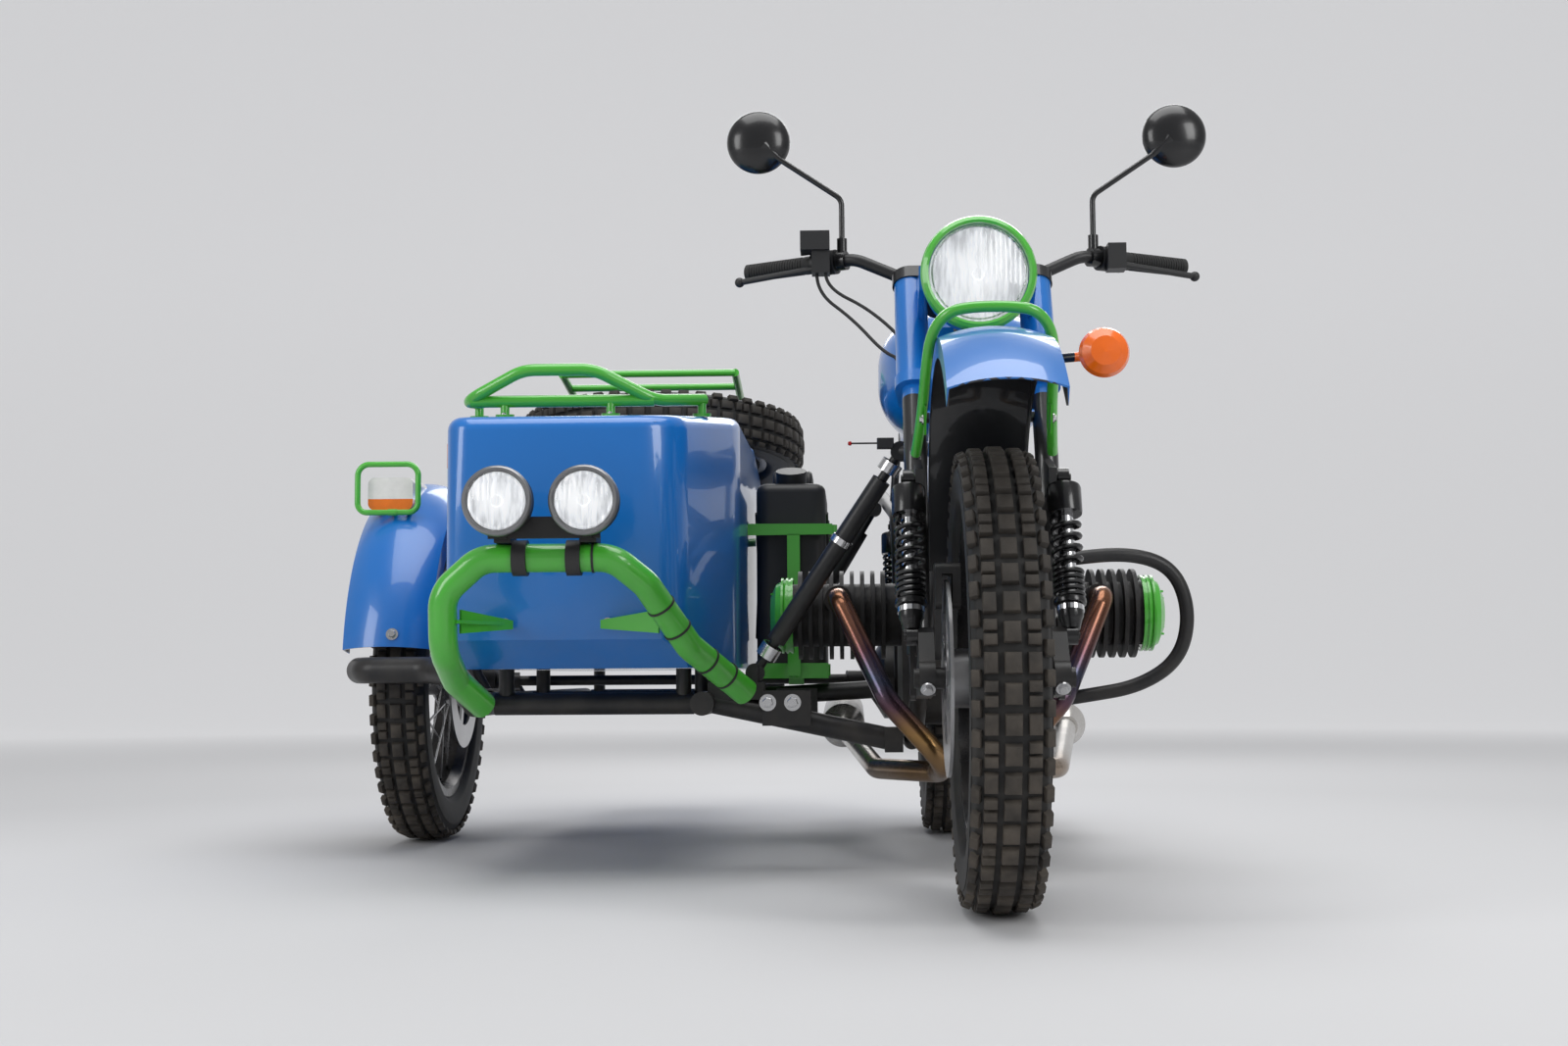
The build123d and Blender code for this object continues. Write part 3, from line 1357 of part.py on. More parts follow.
ARM_PIVOT_Y = 1010.0
with BuildPart() as side_arm:
    tube(
        [
            bike(RAIL_OUT - CHASSIS_R - 30, ARM_PIVOT_Y, CHASSIS_Z + 4),
            bike(-1004, ARM_PIVOT_Y + 8, CHASSIS_Z + 4),
            bike(-1022, SIDE_AXLE - 150, CHASSIS_Z + 8),
            bike(-1030, SIDE_AXLE, TYRE_R),
        ],
        20,
        bend=[50, 120],
    )
    rod(bike(RAIL_OUT - CHASSIS_R - RUN, ARM_PIVOT_Y, CHASSIS_Z), bike(-960, ARM_PIVOT_Y, CHASSIS_Z), 26)
    rod(bike(-TRACK + DISC_PLACE + 10, SIDE_AXLE, TYRE_R), bike(-990, SIDE_AXLE, TYRE_R), 36)
    rod(bike(-TRACK - HUB_END - 14, SIDE_AXLE, TYRE_R), bike(-1010, SIDE_AXLE, TYRE_R), AXLE_R)
    rod(bike(-TRACK - HUB_END - 16, SIDE_AXLE, TYRE_R), bike(-TRACK - HUB_END - 1, SIDE_AXLE, TYRE_R), 17)
save(side_arm.part, "sidecar_arm")

# ---- Drive shaft to the sidecar wheel ----
SHAFT_Z = TYRE_R - 2
SHAFT_R = 11.0
with BuildPart() as drive_shaft:
    start, end = bike(-195, WHEELBASE - 4, SHAFT_Z), bike(-973, SIDE_AXLE + 8, SHAFT_Z)
    rod(start, end, SHAFT_R)
    for point, way in ((start, 1), (end, -1)):
        run = (end - start).normalized() * way
        rod(point - run * 12, point + run * 30, 19)
    rod(bike(-178.4, WHEELBASE, TYRE_R), bike(-192, WHEELBASE, TYRE_R), 14)
    rod(bike(-989.6, SIDE_AXLE, TYRE_R), bike(-974, SIDE_AXLE, TYRE_R), 14)
save(drive_shaft.part, "drive_shaft")

# ---- Fuel can in its holder ----
CAN_IN = -264.0
CAN_OUT = -408.0
CAN_FRONT = 1060.0
CAN_BACK = 1398.0
CAN_LOW = 350.0
CAN_TOP = 748.0
HOLD_Z = 650.0
HOLD_R = 9.0
with BuildPart() as can:
    block(bike(CAN_OUT, CAN_FRONT, CAN_LOW), bike(CAN_IN, CAN_BACK, CAN_TOP))
    fillet(can.edges().filter_by(Axis.Z), 26)
    fillet(can.faces().sort_by(Axis.Z)[-1].edges(), 18)
    can_mid = (CAN_IN + CAN_OUT) / 2
    for x in (can_mid - 34, can_mid, can_mid + 34):
        tube(
            [
                bike(x, 1196, CAN_TOP - 6),
                bike(x, 1196, CAN_TOP + 33),
                bike(x, 1352, CAN_TOP + 33),
                bike(x, 1352, CAN_TOP - 6),
            ],
            8,
            bend=[18, 18],
        )
    rod(bike(can_mid, 1120, CAN_TOP - 4), bike(can_mid, 1108, CAN_TOP + 30), 32)
    for x in (CAN_IN, CAN_OUT):
        for rise in (-1, 1):
            low = bike(x, 1229 - rise * 110, 430)
            rod(low, bike(x, 1229 + rise * 110, 690), 5)
save(can.part, "fuel_can")

with BuildPart() as holder:
    rim = 4.0
    block(bike(CAN_OUT - rim, CAN_FRONT - rim, CAN_LOW - 5), bike(CAN_IN + rim, CAN_BACK + rim, CAN_LOW + 26))
    block(
        bike(CAN_OUT - RUN, CAN_FRONT - RUN, CAN_LOW - RUN),
        bike(CAN_IN + RUN, CAN_BACK + RUN, CAN_LOW + 30),
        mode=Mode.SUBTRACT,
    )
    for y in (CAN_FRONT - 14, CAN_BACK + 14):
        rod(bike(-BODY_IN + 0.6, y, HOLD_Z), bike(CAN_IN + 14, y, HOLD_Z), HOLD_R)
        rod(bike(-330, y, CAN_LOW - 3), bike(-330, y, HOLD_Z), HOLD_R)
        block(bike(-342, min(y, y + 12), CAN_LOW - 5), bike(-318, max(y, y + 12), CAN_LOW + 20))
    rod(bike(CAN_IN + 14, CAN_FRONT - 14, HOLD_Z), bike(CAN_IN + 14, CAN_BACK + 14, HOLD_Z), HOLD_R)
    for y in (CAN_FRONT - 14, CAN_BACK + 14):
        rod(bike(CAN_IN + 14, y, HOLD_Z - HOLD_R), bike(CAN_IN + 14, y, HOLD_Z + HOLD_R), HOLD_R + 1)
    block(
        bike(CAN_OUT - RUN, CAN_FRONT - RUN, CAN_LOW - RUN),
        bike(CAN_IN + RUN + 5, CAN_BACK + RUN, HOLD_Z + 30),
        mode=Mode.SUBTRACT,
    )
    block(bike(-346, STUB_REAR - 16, CHASSIS_Z + 29.8), bike(-314, STUB_REAR + 16, CAN_LOW - 3))
save(holder.part, "can_holder")

# ---- Trunk lid with the spare wheel and its rack ----
SPARE_BACK = Vector(0, SPARE_AXIS.Z, -SPARE_AXIS.Y)


def on_lid(x, back, up):
    """A point from the lid's hinge: sideways of the lid's middle, back along it, up from its top."""
    return bike(BODY_MID + x, HINGE_Y, LID_Z) + SPARE_BACK * back + SPARE_AXIS * up


LID_HALF = (BODY_OUT - BODY_IN) / 2 - 6
LID_FROM = 18.0
LID_TO = (BODY_REAR - 4 - HINGE_Y) / SPARE_AXIS.Z
with BuildPart() as lid:
    top_plane = Plane(origin=on_lid(0, 0, 0), x_dir=(1, 0, 0), z_dir=SPARE_AXIS)
    with BuildSketch(top_plane) as panel:
        with Locations((0, (LID_FROM + LID_TO) / 2)):
            RectangleRounded(2 * LID_HALF, LID_TO - LID_FROM, 90)
    extrude(panel.sketch, amount=-LID_THICK)
    for x in (-170, 170):
        with BuildSketch(top_plane) as batten:
            with Locations((x, SPARE_Y - HINGE_Y)):
                RectangleRounded(46, 560, 10)
        extrude(batten.sketch, amount=SPARE_RISE - 1.2)
    for x in HINGES:
        rod(on_lid(x - KNUCKLE / 2, 0, 0), on_lid(x + KNUCKLE / 2, 0, 0), KNUCKLE_R)
        with BuildSketch(top_plane) as leaf:
            with Locations((x, 24)):
                Rectangle(KNUCKLE, 48)
        extrude(leaf.sketch, amount=5)
        rod(on_lid(x - KNUCKLE, 0, 0), on_lid(x + KNUCKLE, 0, 0), HINGE_PIN + RUN, mode=Mode.SUBTRACT)
save(lid.part, "trunk_lid")

RACK_R = 9.0
RACK_UP = TYRE_WIDTH + SPARE_RISE + 60
RACK_X = (-200.0, 200.0)
RACK_ENDS = (SPARE_Y - HINGE_Y - 250, SPARE_Y - HINGE_Y + 200)
POST_R = 9.5
with BuildPart() as rack:
    front, back = RACK_ENDS
    left, right = RACK_X
    tube(
        [
            on_lid(right, front, RACK_UP),
            on_lid(right, back, RACK_UP),
            on_lid(left, back, RACK_UP),
            on_lid(left, front, RACK_UP),
        ],
        RACK_R,
        bend=[60, 60],
    )
    middle = SPARE_Y - HINGE_Y
    for y in (front + 2, front + 120, middle, back - 90):
        rod(on_lid(left, y, RACK_UP), on_lid(right, y, RACK_UP), RACK_R - 1)
    rod(on_lid(8, middle, RUN), on_lid(8, middle, RACK_UP), POST_R)
    rod(on_lid(8, middle, RUN), on_lid(8, middle, SPARE_RISE + TYRE_WIDTH / 2 - HUB_END - 1), 30)
    rod(
        on_lid(8, middle, SPARE_RISE + TYRE_WIDTH / 2 + HUB_END + 1),
        on_lid(8, middle, SPARE_RISE + TYRE_WIDTH / 2 + HUB_END + 14),
        30,
    )
save(rack.part, "luggage_rack")
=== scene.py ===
"""Dresses the sidecar motorcycle: a finish for every part, and the pieces that need a finer shape.

Metres throughout, in the model's own frame: -Y is the front and +X the motorcycle's left.
"""

import json
from math import cos, exp, pi, radians, sin, tan

import bmesh
import bpy
from bmesh.types import BMEdge, BMVert
from mathutils import Matrix, Vector


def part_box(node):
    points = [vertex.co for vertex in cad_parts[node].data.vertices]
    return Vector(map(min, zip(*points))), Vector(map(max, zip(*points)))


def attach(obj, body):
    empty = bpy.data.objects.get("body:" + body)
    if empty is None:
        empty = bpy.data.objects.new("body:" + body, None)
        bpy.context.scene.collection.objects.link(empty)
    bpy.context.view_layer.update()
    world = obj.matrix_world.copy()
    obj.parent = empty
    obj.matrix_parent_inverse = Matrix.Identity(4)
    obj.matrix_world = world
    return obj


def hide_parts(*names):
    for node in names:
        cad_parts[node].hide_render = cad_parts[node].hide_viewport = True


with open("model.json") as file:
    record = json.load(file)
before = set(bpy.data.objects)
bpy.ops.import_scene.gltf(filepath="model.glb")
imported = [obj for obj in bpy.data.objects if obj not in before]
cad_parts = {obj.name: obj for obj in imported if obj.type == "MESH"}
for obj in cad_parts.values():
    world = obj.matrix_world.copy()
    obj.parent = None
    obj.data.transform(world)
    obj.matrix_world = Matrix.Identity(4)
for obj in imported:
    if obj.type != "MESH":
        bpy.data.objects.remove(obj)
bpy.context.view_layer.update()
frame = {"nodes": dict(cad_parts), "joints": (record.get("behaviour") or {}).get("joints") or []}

# ---- Places, taken from the frame ----
HUBS = {joint["name"]: Vector(joint["pos_m"]) for joint in frame["joints"]}
FRONT_HUB = HUBS["front_axle"]
REAR_HUB = HUBS["rear_axle"]
SIDE_HUB = HUBS["sidecar_axle"]
SPARE_TILT = radians(7)
SPARE_AXIS = Vector((0, sin(SPARE_TILT), cos(SPARE_TILT)))
ACROSS = Vector((1, 0, 0))
AHEAD = Vector((0, -1, 0))
BACK = Vector((0, 1, 0))
UP = Vector((0, 0, 1))


def bike(x, y, z):
    """A point x left of the centre plane, y behind the front axle, z above the ground."""
    return Vector((FRONT_HUB.x + x, FRONT_HUB.y + y, z))


def middle(node):
    """The middle of a node's box."""
    low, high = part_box(node)
    return (low + high) / 2


def add_object(name, data):
    """A new object in the scene that holds some data."""
    made = bpy.data.objects.new(name, data)
    bpy.context.scene.collection.objects.link(made)
    return made


# ---- Camera ----
CAMERA_PLACE = Vector((0.19, -3.732, 0.35))
CAMERA_TURN = (("Z", 2.024), ("X", 4.611), ("Y", 0.3565), ("X", 90.0))
CAMERA_LENS = 43.52


def set_camera():
    data = bpy.data.cameras.new("camera")
    data.lens = CAMERA_LENS
    camera = add_object("camera", data)
    place = Matrix.Translation(CAMERA_PLACE)
    for axis, degrees in CAMERA_TURN:
        place = place @ Matrix.Rotation(radians(degrees), 4, axis)
    camera.matrix_world = place
    bpy.context.scene.camera = camera


set_camera()


# ---- Node helpers ----
def fill(tree, node, inputs):
    """Gives each named input of a node a value or a link."""
    for name, value in inputs.items():
        if isinstance(value, bpy.types.NodeSocket):
            tree.links.new(value, node.inputs[name])
        else:
            node.inputs[name].default_value = value


def put(tree, kind, inputs=None, **settings):
    """Adds a shader node with its settings and its inputs."""
    made = tree.nodes.new("ShaderNode" + kind)
    for name, value in settings.items():
        setattr(made, name, value)
    fill(tree, made, inputs or {})
    return made


def blend(tree, mask, first, second):
    """A colour between two others, by a mask."""
    made = put(tree, "Mix", {0: mask, 6: first, 7: second}, data_type="RGBA")
    return made.outputs[2]


def calc(tree, operation, *values):
    return put(tree, "Math", dict(enumerate(values)), operation=operation).outputs[0]


def vector_calc(tree, operation, *values):
    inputs = dict(enumerate(values))
    return put(tree, "VectorMath", inputs, operation=operation).outputs


def carried(tree, value, start, end, first=0.0, last=1.0):
    """A value carried from one range to another, and held at its ends."""
    inputs = {"Value": value, 1: start, 2: end, 3: first, 4: last}
    return put(tree, "MapRange", inputs).outputs[0]


def noise(tree, place, scale, detail):
    inputs = {"Vector": place, "Scale": scale, "Detail": detail}
    return put(tree, "TexNoise", inputs).outputs["Fac"]


def bump_normal(tree, height, strength, depth):
    inputs = {"Height": height, "Strength": strength, "Distance": depth}
    return put(tree, "Bump", inputs).outputs["Normal"]


def object_place(tree):
    return put(tree, "TexCoord").outputs["Object"]


def new_group(name, inputs, outputs):
    """A shader node group with its sockets: (group, what goes in, its output node)."""
    tree = bpy.data.node_groups.new(name, "ShaderNodeTree")
    for label, kind, value in inputs:
        kind = "NodeSocket" + kind
        socket = tree.interface.new_socket(label, in_out="INPUT", socket_type=kind)
        socket.default_value = value
    for label, kind in outputs:
        tree.interface.new_socket(label, in_out="OUTPUT", socket_type="NodeSocket" + kind)
    given, result = (tree.nodes.new("NodeGroup" + end) for end in ("Input", "Output"))
    return tree, given.outputs, result


def place_group(tree, group, **inputs):
    """Places a group in a material and returns what comes out of it."""
    return put(tree, "Group", inputs, node_tree=group).outputs


# ---- Shared effects ----
GREY = (0.5, 0.5, 0.5, 1)  # default of every colour input
DUST = (0.3, 0.25, 0.2, 1)
DUST_TOP = 0.75  # road dust thins out up to this height
DUST_SCALE = 22.0
DUST_DULLS = 0.5  # roughness that full dust adds
SMEAR_SCALE = 14.0


def make_shade_drift():
    """A colour that drifts a little lighter and darker over the surface."""
    tree, given, result = new_group(
        "shade drift",
        [("Colour", "Color", GREY), ("Drift", "Float", 0.05), ("Scale", "Float", 6.0)],
        [("Colour", "Color")],
    )
    drift = noise(tree, object_place(tree), given["Scale"], 4.0)
    centred = calc(tree, "MULTIPLY_ADD", drift, 2.0, -1.0)
    value = calc(tree, "MULTIPLY_ADD", centred, given["Drift"], 1.0)
    shaded = put(tree, "HueSaturation", {"Color": given["Colour"], "Value": value})
    fill(tree, result, {"Colour": shaded.outputs["Color"]})
    return tree


def make_fine_grain():
    """Roughness that varies with a fine grain and wider smears, and the grain's height."""
    tree, given, result = new_group(
        "fine grain",
        [("Scale", "Float", 900.0), ("Roughness", "Float", 0.4), ("Spread", "Float", 0.05)],
        [("Roughness", "Float"), ("Height", "Float")],
    )
    place = object_place(tree)
    grain = noise(tree, place, given["Scale"], 3.0)
    smears = noise(tree, place, SMEAR_SCALE, 5.0)
    centred = calc(tree, "SUBTRACT", calc(tree, "ADD", grain, smears), 1.0)
    varied = calc(tree, "MULTIPLY_ADD", centred, given["Spread"], given["Roughness"])
    fill(tree, result, {"Roughness": varied, "Height": grain})
    return tree


def make_road_dust():
    """Dust that gathers in patches, more of it lower down."""
    tree, given, result = new_group(
        "road dust",
        [("Colour", "Color", GREY), ("Roughness", "Float", 0.4), ("Amount", "Float", 0.1)],
        [("Colour", "Color"), ("Roughness", "Float")],
    )
    place = object_place(tree)
    height = put(tree, "SeparateXYZ", {0: place}).outputs["Z"]
    low = carried(tree, height, 0.0, DUST_TOP, 1.0, 0.0)
    patches = carried(tree, noise(tree, place, DUST_SCALE, 8.0), 0.35, 0.75)
    mask = calc(tree, "MULTIPLY", calc(tree, "MULTIPLY", low, patches), given["Amount"])
    fill(tree, result, {
        "Colour": blend(tree, mask, given["Colour"], DUST),
        "Roughness": calc(tree, "MULTIPLY_ADD", mask, DUST_DULLS, given["Roughness"]),
    })
    return tree


def make_axle_rings():
    """The distance of a point from a wheel's axle."""
    tree, given, result = new_group(
        "axle rings",
        [("Centre", "Vector", (0, 0, 0)), ("Axis", "Vector", (1, 0, 0))],
        [("Radius", "Float")],
    )
    arm = vector_calc(tree, "SUBTRACT", object_place(tree), given["Centre"])[0]
    along = vector_calc(tree, "DOT_PRODUCT", arm, given["Axis"])["Value"]
    scaled = {0: given["Axis"], "Scale": along}
    shift = put(tree, "VectorMath", scaled, operation="SCALE").outputs[0]
    flat = vector_calc(tree, "SUBTRACT", arm, shift)[0]
    fill(tree, result, {"Radius": vector_calc(tree, "LENGTH", flat)["Value"]})
    return tree


SHADE_DRIFT = make_shade_drift()
FINE_GRAIN = make_fine_grain()
ROAD_DUST = make_road_dust()
AXLE_RINGS = make_axle_rings()


# ---- Finishes ----
def new_material(name):
    material = bpy.data.materials.new(name)
    material.use_nodes = True
    tree = material.node_tree
    return material, tree, tree.nodes["Principled BSDF"]


def finish(
    name, colour, roughness, metallic=0.0, drift=0.05, drift_scale=6.0, grain=900.0, spread=0.05,
    bump=0.05, depth=0.0002, dust=0.1, clear=0.0, paint=None,
):
    """A drifting colour, a grained surface and road dust. paint(tree) gives a patterned colour."""
    material, tree, shader = new_material(name)
    base = paint(tree) if paint else (*colour, 1)
    drifting = place_group(tree, SHADE_DRIFT, Colour=base, Drift=drift, Scale=drift_scale)
    grained = place_group(tree, FINE_GRAIN, Scale=grain, Roughness=roughness, Spread=spread)
    colour, roughness = drifting["Colour"], grained["Roughness"]
    dusty = place_group(tree, ROAD_DUST, Colour=colour, Roughness=roughness, Amount=dust)
    fill(tree, shader, {
        "Base Color": dusty["Colour"],
        "Roughness": dusty["Roughness"],
        "Normal": bump_normal(tree, grained["Height"], bump, depth),
        "Metallic": metallic,
        "Coat Weight": clear,
        "Coat Roughness": 0.04,
    })
    return material


BLUE = (0.003, 0.155, 0.53)
GREEN = (0.06, 0.43, 0.03)
JET = (0.008, 0.008, 0.009)
# black for the fender faces that look towards the wheel
WHEEL_SIDE_BLACK = (0.004, 0.005, 0.008, 1)
SPOKE = (0.62, 0.62, 0.63)
HUB_CASTING = (0.22, 0.22, 0.23, 1)
RIM_BLACK = (0.03, 0.03, 0.032, 1)
RIM_IN = 0.222  # a wheel's rim starts this far from its axle
HUB_OUT = 0.056


def fender_paint(name, axle):
    """Blue outside and black on the side that faces the wheel."""

    def sides(tree):
        place = put(tree, "TexCoord").outputs
        arm = vector_calc(tree, "SUBTRACT", place["Object"], axle)[0]
        facing = vector_calc(tree, "DOT_PRODUCT", arm, place["Normal"])["Value"]
        # the faces that look towards the axle are coloured plain black
        inner = calc(tree, "LESS_THAN", facing, 0.0)
        return blend(tree, inner, (*BLUE, 1), WHEEL_SIDE_BLACK)

    return finish(name, None, 0.32, drift_scale=3, grain=420, bump=0.02, clear=0.6, paint=sides)


def banded(name, way, start, end, inside, outside, **looks):
    """One colour between two places along a way, and another beyond them."""

    def parts(tree):
        along = vector_calc(tree, "DOT_PRODUCT", object_place(tree), way)["Value"]
        after = calc(tree, "GREATER_THAN", along, start)
        before = calc(tree, "LESS_THAN", along, end)
        between = calc(tree, "MULTIPLY", after, before)
        return blend(tree, between, (*outside, 1), (*inside, 1))

    return finish(name, None, paint=parts, **looks)


# heat colours of a header, from its foot (0) up to the port (1)
HEAT_LOW, HEAT_HIGH = 0.22, 0.54
HEAT_ENDS = ((0.24, 0.15, 0.08, 1), (0.33, 0.15, 0.08, 1))
HEAT_STOPS = (
    (0.18, (0.33, 0.19, 0.07, 1)),
    (0.32, (0.1, 0.05, 0.07, 1)),
    (0.48, (0.05, 0.06, 0.1, 1)),
    (0.62, (0.11, 0.05, 0.06, 1)),
    (0.8, (0.2, 0.09, 0.06, 1)),
)
PLAIN_STEEL = (0.5, 0.48, 0.45, 1)
PLAIN_FROM, PLAIN_TO = FRONT_HUB.y + 0.6, FRONT_HUB.y + 0.8  # the colours fade out over this


def heat_tint(tree):
    """Header colours by height, and plain steel behind."""
    place = put(tree, "SeparateXYZ", {0: object_place(tree)}).outputs
    waver = noise(tree, object_place(tree), 16.0, 3.0)
    height = calc(tree, "MULTIPLY_ADD", waver, 0.06, place["Z"])
    ramp = put(tree, "ValToRGB", {0: carried(tree, height, HEAT_LOW, HEAT_HIGH)})
    stops = ramp.color_ramp.elements
    for stop, colour in zip(stops, HEAT_ENDS):
        stop.color = colour
    for position, colour in HEAT_STOPS:
        stops.new(position).color = colour
    behind = carried(tree, place["Y"], PLAIN_FROM, PLAIN_TO)
    return blend(tree, behind, ramp.outputs["Color"], PLAIN_STEEL)


def wheel_finish(name, centre, axis):
    """Black rim, bright spokes and a cast hub, told apart by their distance from the axle."""

    def parts(tree):
        radius = place_group(tree, AXLE_RINGS, Centre=centre, Axis=axis)["Radius"]
        rim = calc(tree, "GREATER_THAN", radius, RIM_IN)
        hub = calc(tree, "LESS_THAN", radius, HUB_OUT)
        metal = blend(tree, hub, (*SPOKE, 1), HUB_CASTING)
        return blend(tree, rim, metal, RIM_BLACK)

    return finish(name, None, 0.26, metallic=1.0, dust=0.12, paint=parts)


def seat_vinyl():
    """Grained black seat cover: small leathery cells over soft creases."""
    colour = (0.014, 0.014, 0.015)
    material = finish("seat vinyl", colour, 0.46, grain=260, spread=0.08, drift=0.2, dust=0.05)
    tree = material.node_tree
    place = object_place(tree)
    inputs = {"Vector": place, "Scale": 620.0}
    cells = put(tree, "TexVoronoi", inputs, feature="DISTANCE_TO_EDGE")
    creases = noise(tree, place, 34.0, 4.0)
    height = calc(tree, "MULTIPLY_ADD", creases, 0.6, cells.outputs["Distance"])
    shader = tree.nodes["Principled BSDF"]
    fill(tree, shader, {"Normal": bump_normal(tree, height, 0.5, 0.0006)})
    return material


def clear_lens(name, colour, transmission, roughness, flutes):
    """A moulded lens with upright flutes."""
    material, tree, shader = new_material(name)
    drifting = place_group(tree, SHADE_DRIFT, Colour=(*colour, 1), Drift=0.05, Scale=20.0)
    grained = place_group(tree, FINE_GRAIN, Scale=300.0, Roughness=roughness, Spread=0.03)
    waves = {"Vector": object_place(tree), "Scale": flutes}
    ribs = put(tree, "TexWave", waves, bands_direction="X").outputs["Fac"]
    fill(tree, shader, {
        "Base Color": drifting["Colour"],
        "Roughness": grained["Roughness"],
        "Transmission Weight": transmission,
        "IOR": 1.45,
        "Normal": bump_normal(tree, ribs, 0.6, 0.0008),
    })
    return material


SILVER_DARK = (0.36, 0.37, 0.39, 1)
SILVER_PALE = (0.72, 0.73, 0.75, 1)


def lit_reflector(name, centre, radius):
    """A bright dish with its lamp on: white in the middle, streaked and silvery at the edge."""
    material, tree, shader = new_material(name)
    away = place_group(tree, AXLE_RINGS, Centre=centre, Axis=BACK)["Radius"]
    spot = carried(tree, away, radius * 0.25, radius, 1.0, 0.0)
    upright = {"Vector": object_place(tree), "Scale": (150, 150, 22)}
    stretched = put(tree, "Mapping", upright).outputs[0]
    streaks = carried(tree, noise(tree, stretched, 1.0, 3.0), 0.35, 0.65)
    silver = blend(tree, streaks, SILVER_DARK, SILVER_PALE)
    fill(tree, shader, {
        "Emission Color": blend(tree, spot, silver, (1, 1, 1, 1)),
        "Emission Strength": 0.7,
        "Base Color": silver,
        "Metallic": 0.8,
        "Roughness": 0.35,
    })
    return material


PAINT_BLUE = finish("blue paint", BLUE, 0.3, drift_scale=3, grain=420, bump=0.02, clear=0.7)
PAINT_GREEN = finish(
    "green paint", GREEN, 0.32, drift=0.06, drift_scale=9, grain=500, bump=0.03, clear=0.7
)
POWDER = finish(
    "black powder coat", JET, 0.4, grain=1400, bump=0.22, depth=0.0003, dust=0.12, drift=0.2
)
GLOSS = finish(
    "gloss black", (0.006, 0.006, 0.007), 0.26, grain=700, bump=0.02, dust=0.03, clear=0.25
)
CAST = finish(
    "black cast alloy", (0.014, 0.014, 0.015), 0.5, metallic=0.4, grain=650, bump=0.5,
    depth=0.0006, drift=0.25, drift_scale=18, dust=0.15,
)
MOULDING = finish(
    "black moulding", (0.016, 0.016, 0.017), 0.48, grain=2200, bump=0.3, drift=0.15
)
RUBBER = finish(
    "soft rubber", (0.014, 0.014, 0.014), 0.66, grain=1500, bump=0.3, depth=0.0003, drift=0.2
)
STEEL = finish("bright steel", SPOKE, 0.22, metallic=1.0, grain=1100, dust=0.05)
GROUND = finish(
    "ground steel", (0.5, 0.5, 0.51), 0.3, metallic=1.0, grain=1600, spread=0.15, bump=0.1
)
CHROME = finish("chrome", (0.8, 0.8, 0.82), 0.08, metallic=1.0, drift=0.02, bump=0.0, dust=0.03)
EXHAUST = finish(
    "heat-tinted steel", None, 0.24, metallic=0.9, spread=0.12, grain=800, paint=heat_tint
)
WALL = finish(
    "tyre wall", (0.006, 0.006, 0.006), 0.62, grain=700, bump=0.35, depth=0.0004, drift=0.25,
    drift_scale=12, dust=0.08,
)
TREAD = finish(
    "tread face", (0.026, 0.022, 0.018), 0.7, grain=500, bump=0.6, depth=0.0006, drift=0.35,
    drift_scale=30, dust=0.35,
)
VINYL = seat_vinyl()
AMBER = clear_lens("amber moulding", (0.95, 0.22, 0.01), 0.25, 0.16, 55.0)
RED = clear_lens("red moulding", (0.5, 0.01, 0.01), 0.25, 0.16, 60.0)
MARKER = banded(
    "marker moulding", UP, 0.0, 0.722, (0.95, 0.2, 0.01), (0.9, 0.86, 0.83),
    roughness=0.14, clear=0.6, drift=0.12, drift_scale=60,
)
GLASS = clear_lens("fluted glass", (0.98, 0.99, 1.0), 0.95, 0.03, 40.0)
BEZEL = finish("satin bezel", (0.3, 0.3, 0.31), 0.34, metallic=0.9)

STEM = Vector((0, 0.454, 0.891))  # up the steering axis
YOKE = STEM.dot(bike(0, 0.2405, 0.7463)) + 0.09  # where the lower yoke clamps the legs
YOKE_HALF = 0.026
FORK = banded(
    "fork finish", STEM, YOKE - YOKE_HALF, YOKE + YOKE_HALF, BLUE, JET,
    roughness=0.36, clear=0.5, bump=0.05,
)
INDICATOR = banded(
    "indicator stem", ACROSS, -9, bike(0.158, 0, 0).x, JET, (0.9, 0.15, 0.005),
    roughness=0.25, clear=0.5,
)

WEARERS = (
    (PAINT_BLUE, "fuel_tank sidecar_body headlamp_shell lamp_ears trunk_lid"),
    (PAINT_GREEN, "headlamp_rim fender_hoop bumper nose_rail lamp_guard luggage_rack"),
    (PAINT_GREEN, "can_holder valve_covers"),
    (POWDER, "leading_arms frame_loop_left frame_loop_right frame_spine swingarm sidecar_chassis"),
    (POWDER, "sidecar_mounts wheel_hoop sidecar_arm engine_guard handlebar brake_caliper"),
    (POWDER, "drive_shaft"),
    (CAST, "engine_block cylinders"),
    (GROUND, "disc_front disc_rear disc_sidecar"),
    (EXHAUST, "exhaust"),
    (MOULDING, "hand_controls fuel_can driving_lamps"),
    (GLOSS, "mirrors rear_shocks fork_shocks"),
    (RED, "tail_lamp"),
    (MARKER, "marker_lamp"),
    (GLASS, "headlamp_lens driving_lenses"),
    (RUBBER, "cables grips"),
    (WALL, "tyre_front tyre_rear tyre_sidecar tyre_spare"),
    (VINYL, "saddle sidecar_seat"),
    (FORK, "fork"),
    (INDICATOR, "indicator"),
)
FENDERS = (("front_fender", FRONT_HUB), ("rear_fender", REAR_HUB), ("sidecar_fender", SIDE_HUB))
# name, body, middle, axis
WHEELS = (
    ("front", "front_wheel", FRONT_HUB, ACROSS),
    ("rear", "rear_wheel", REAR_HUB, ACROSS),
    ("sidecar", "sidecar_wheel", SIDE_HUB, ACROSS),
    ("spare", "trunk_lid", middle("tyre_spare"), SPARE_AXIS),
)


def dress(node, material):
    """Gives a carried-over part its finish."""
    for slot in frame["nodes"][node].material_slots:
        slot.material = material


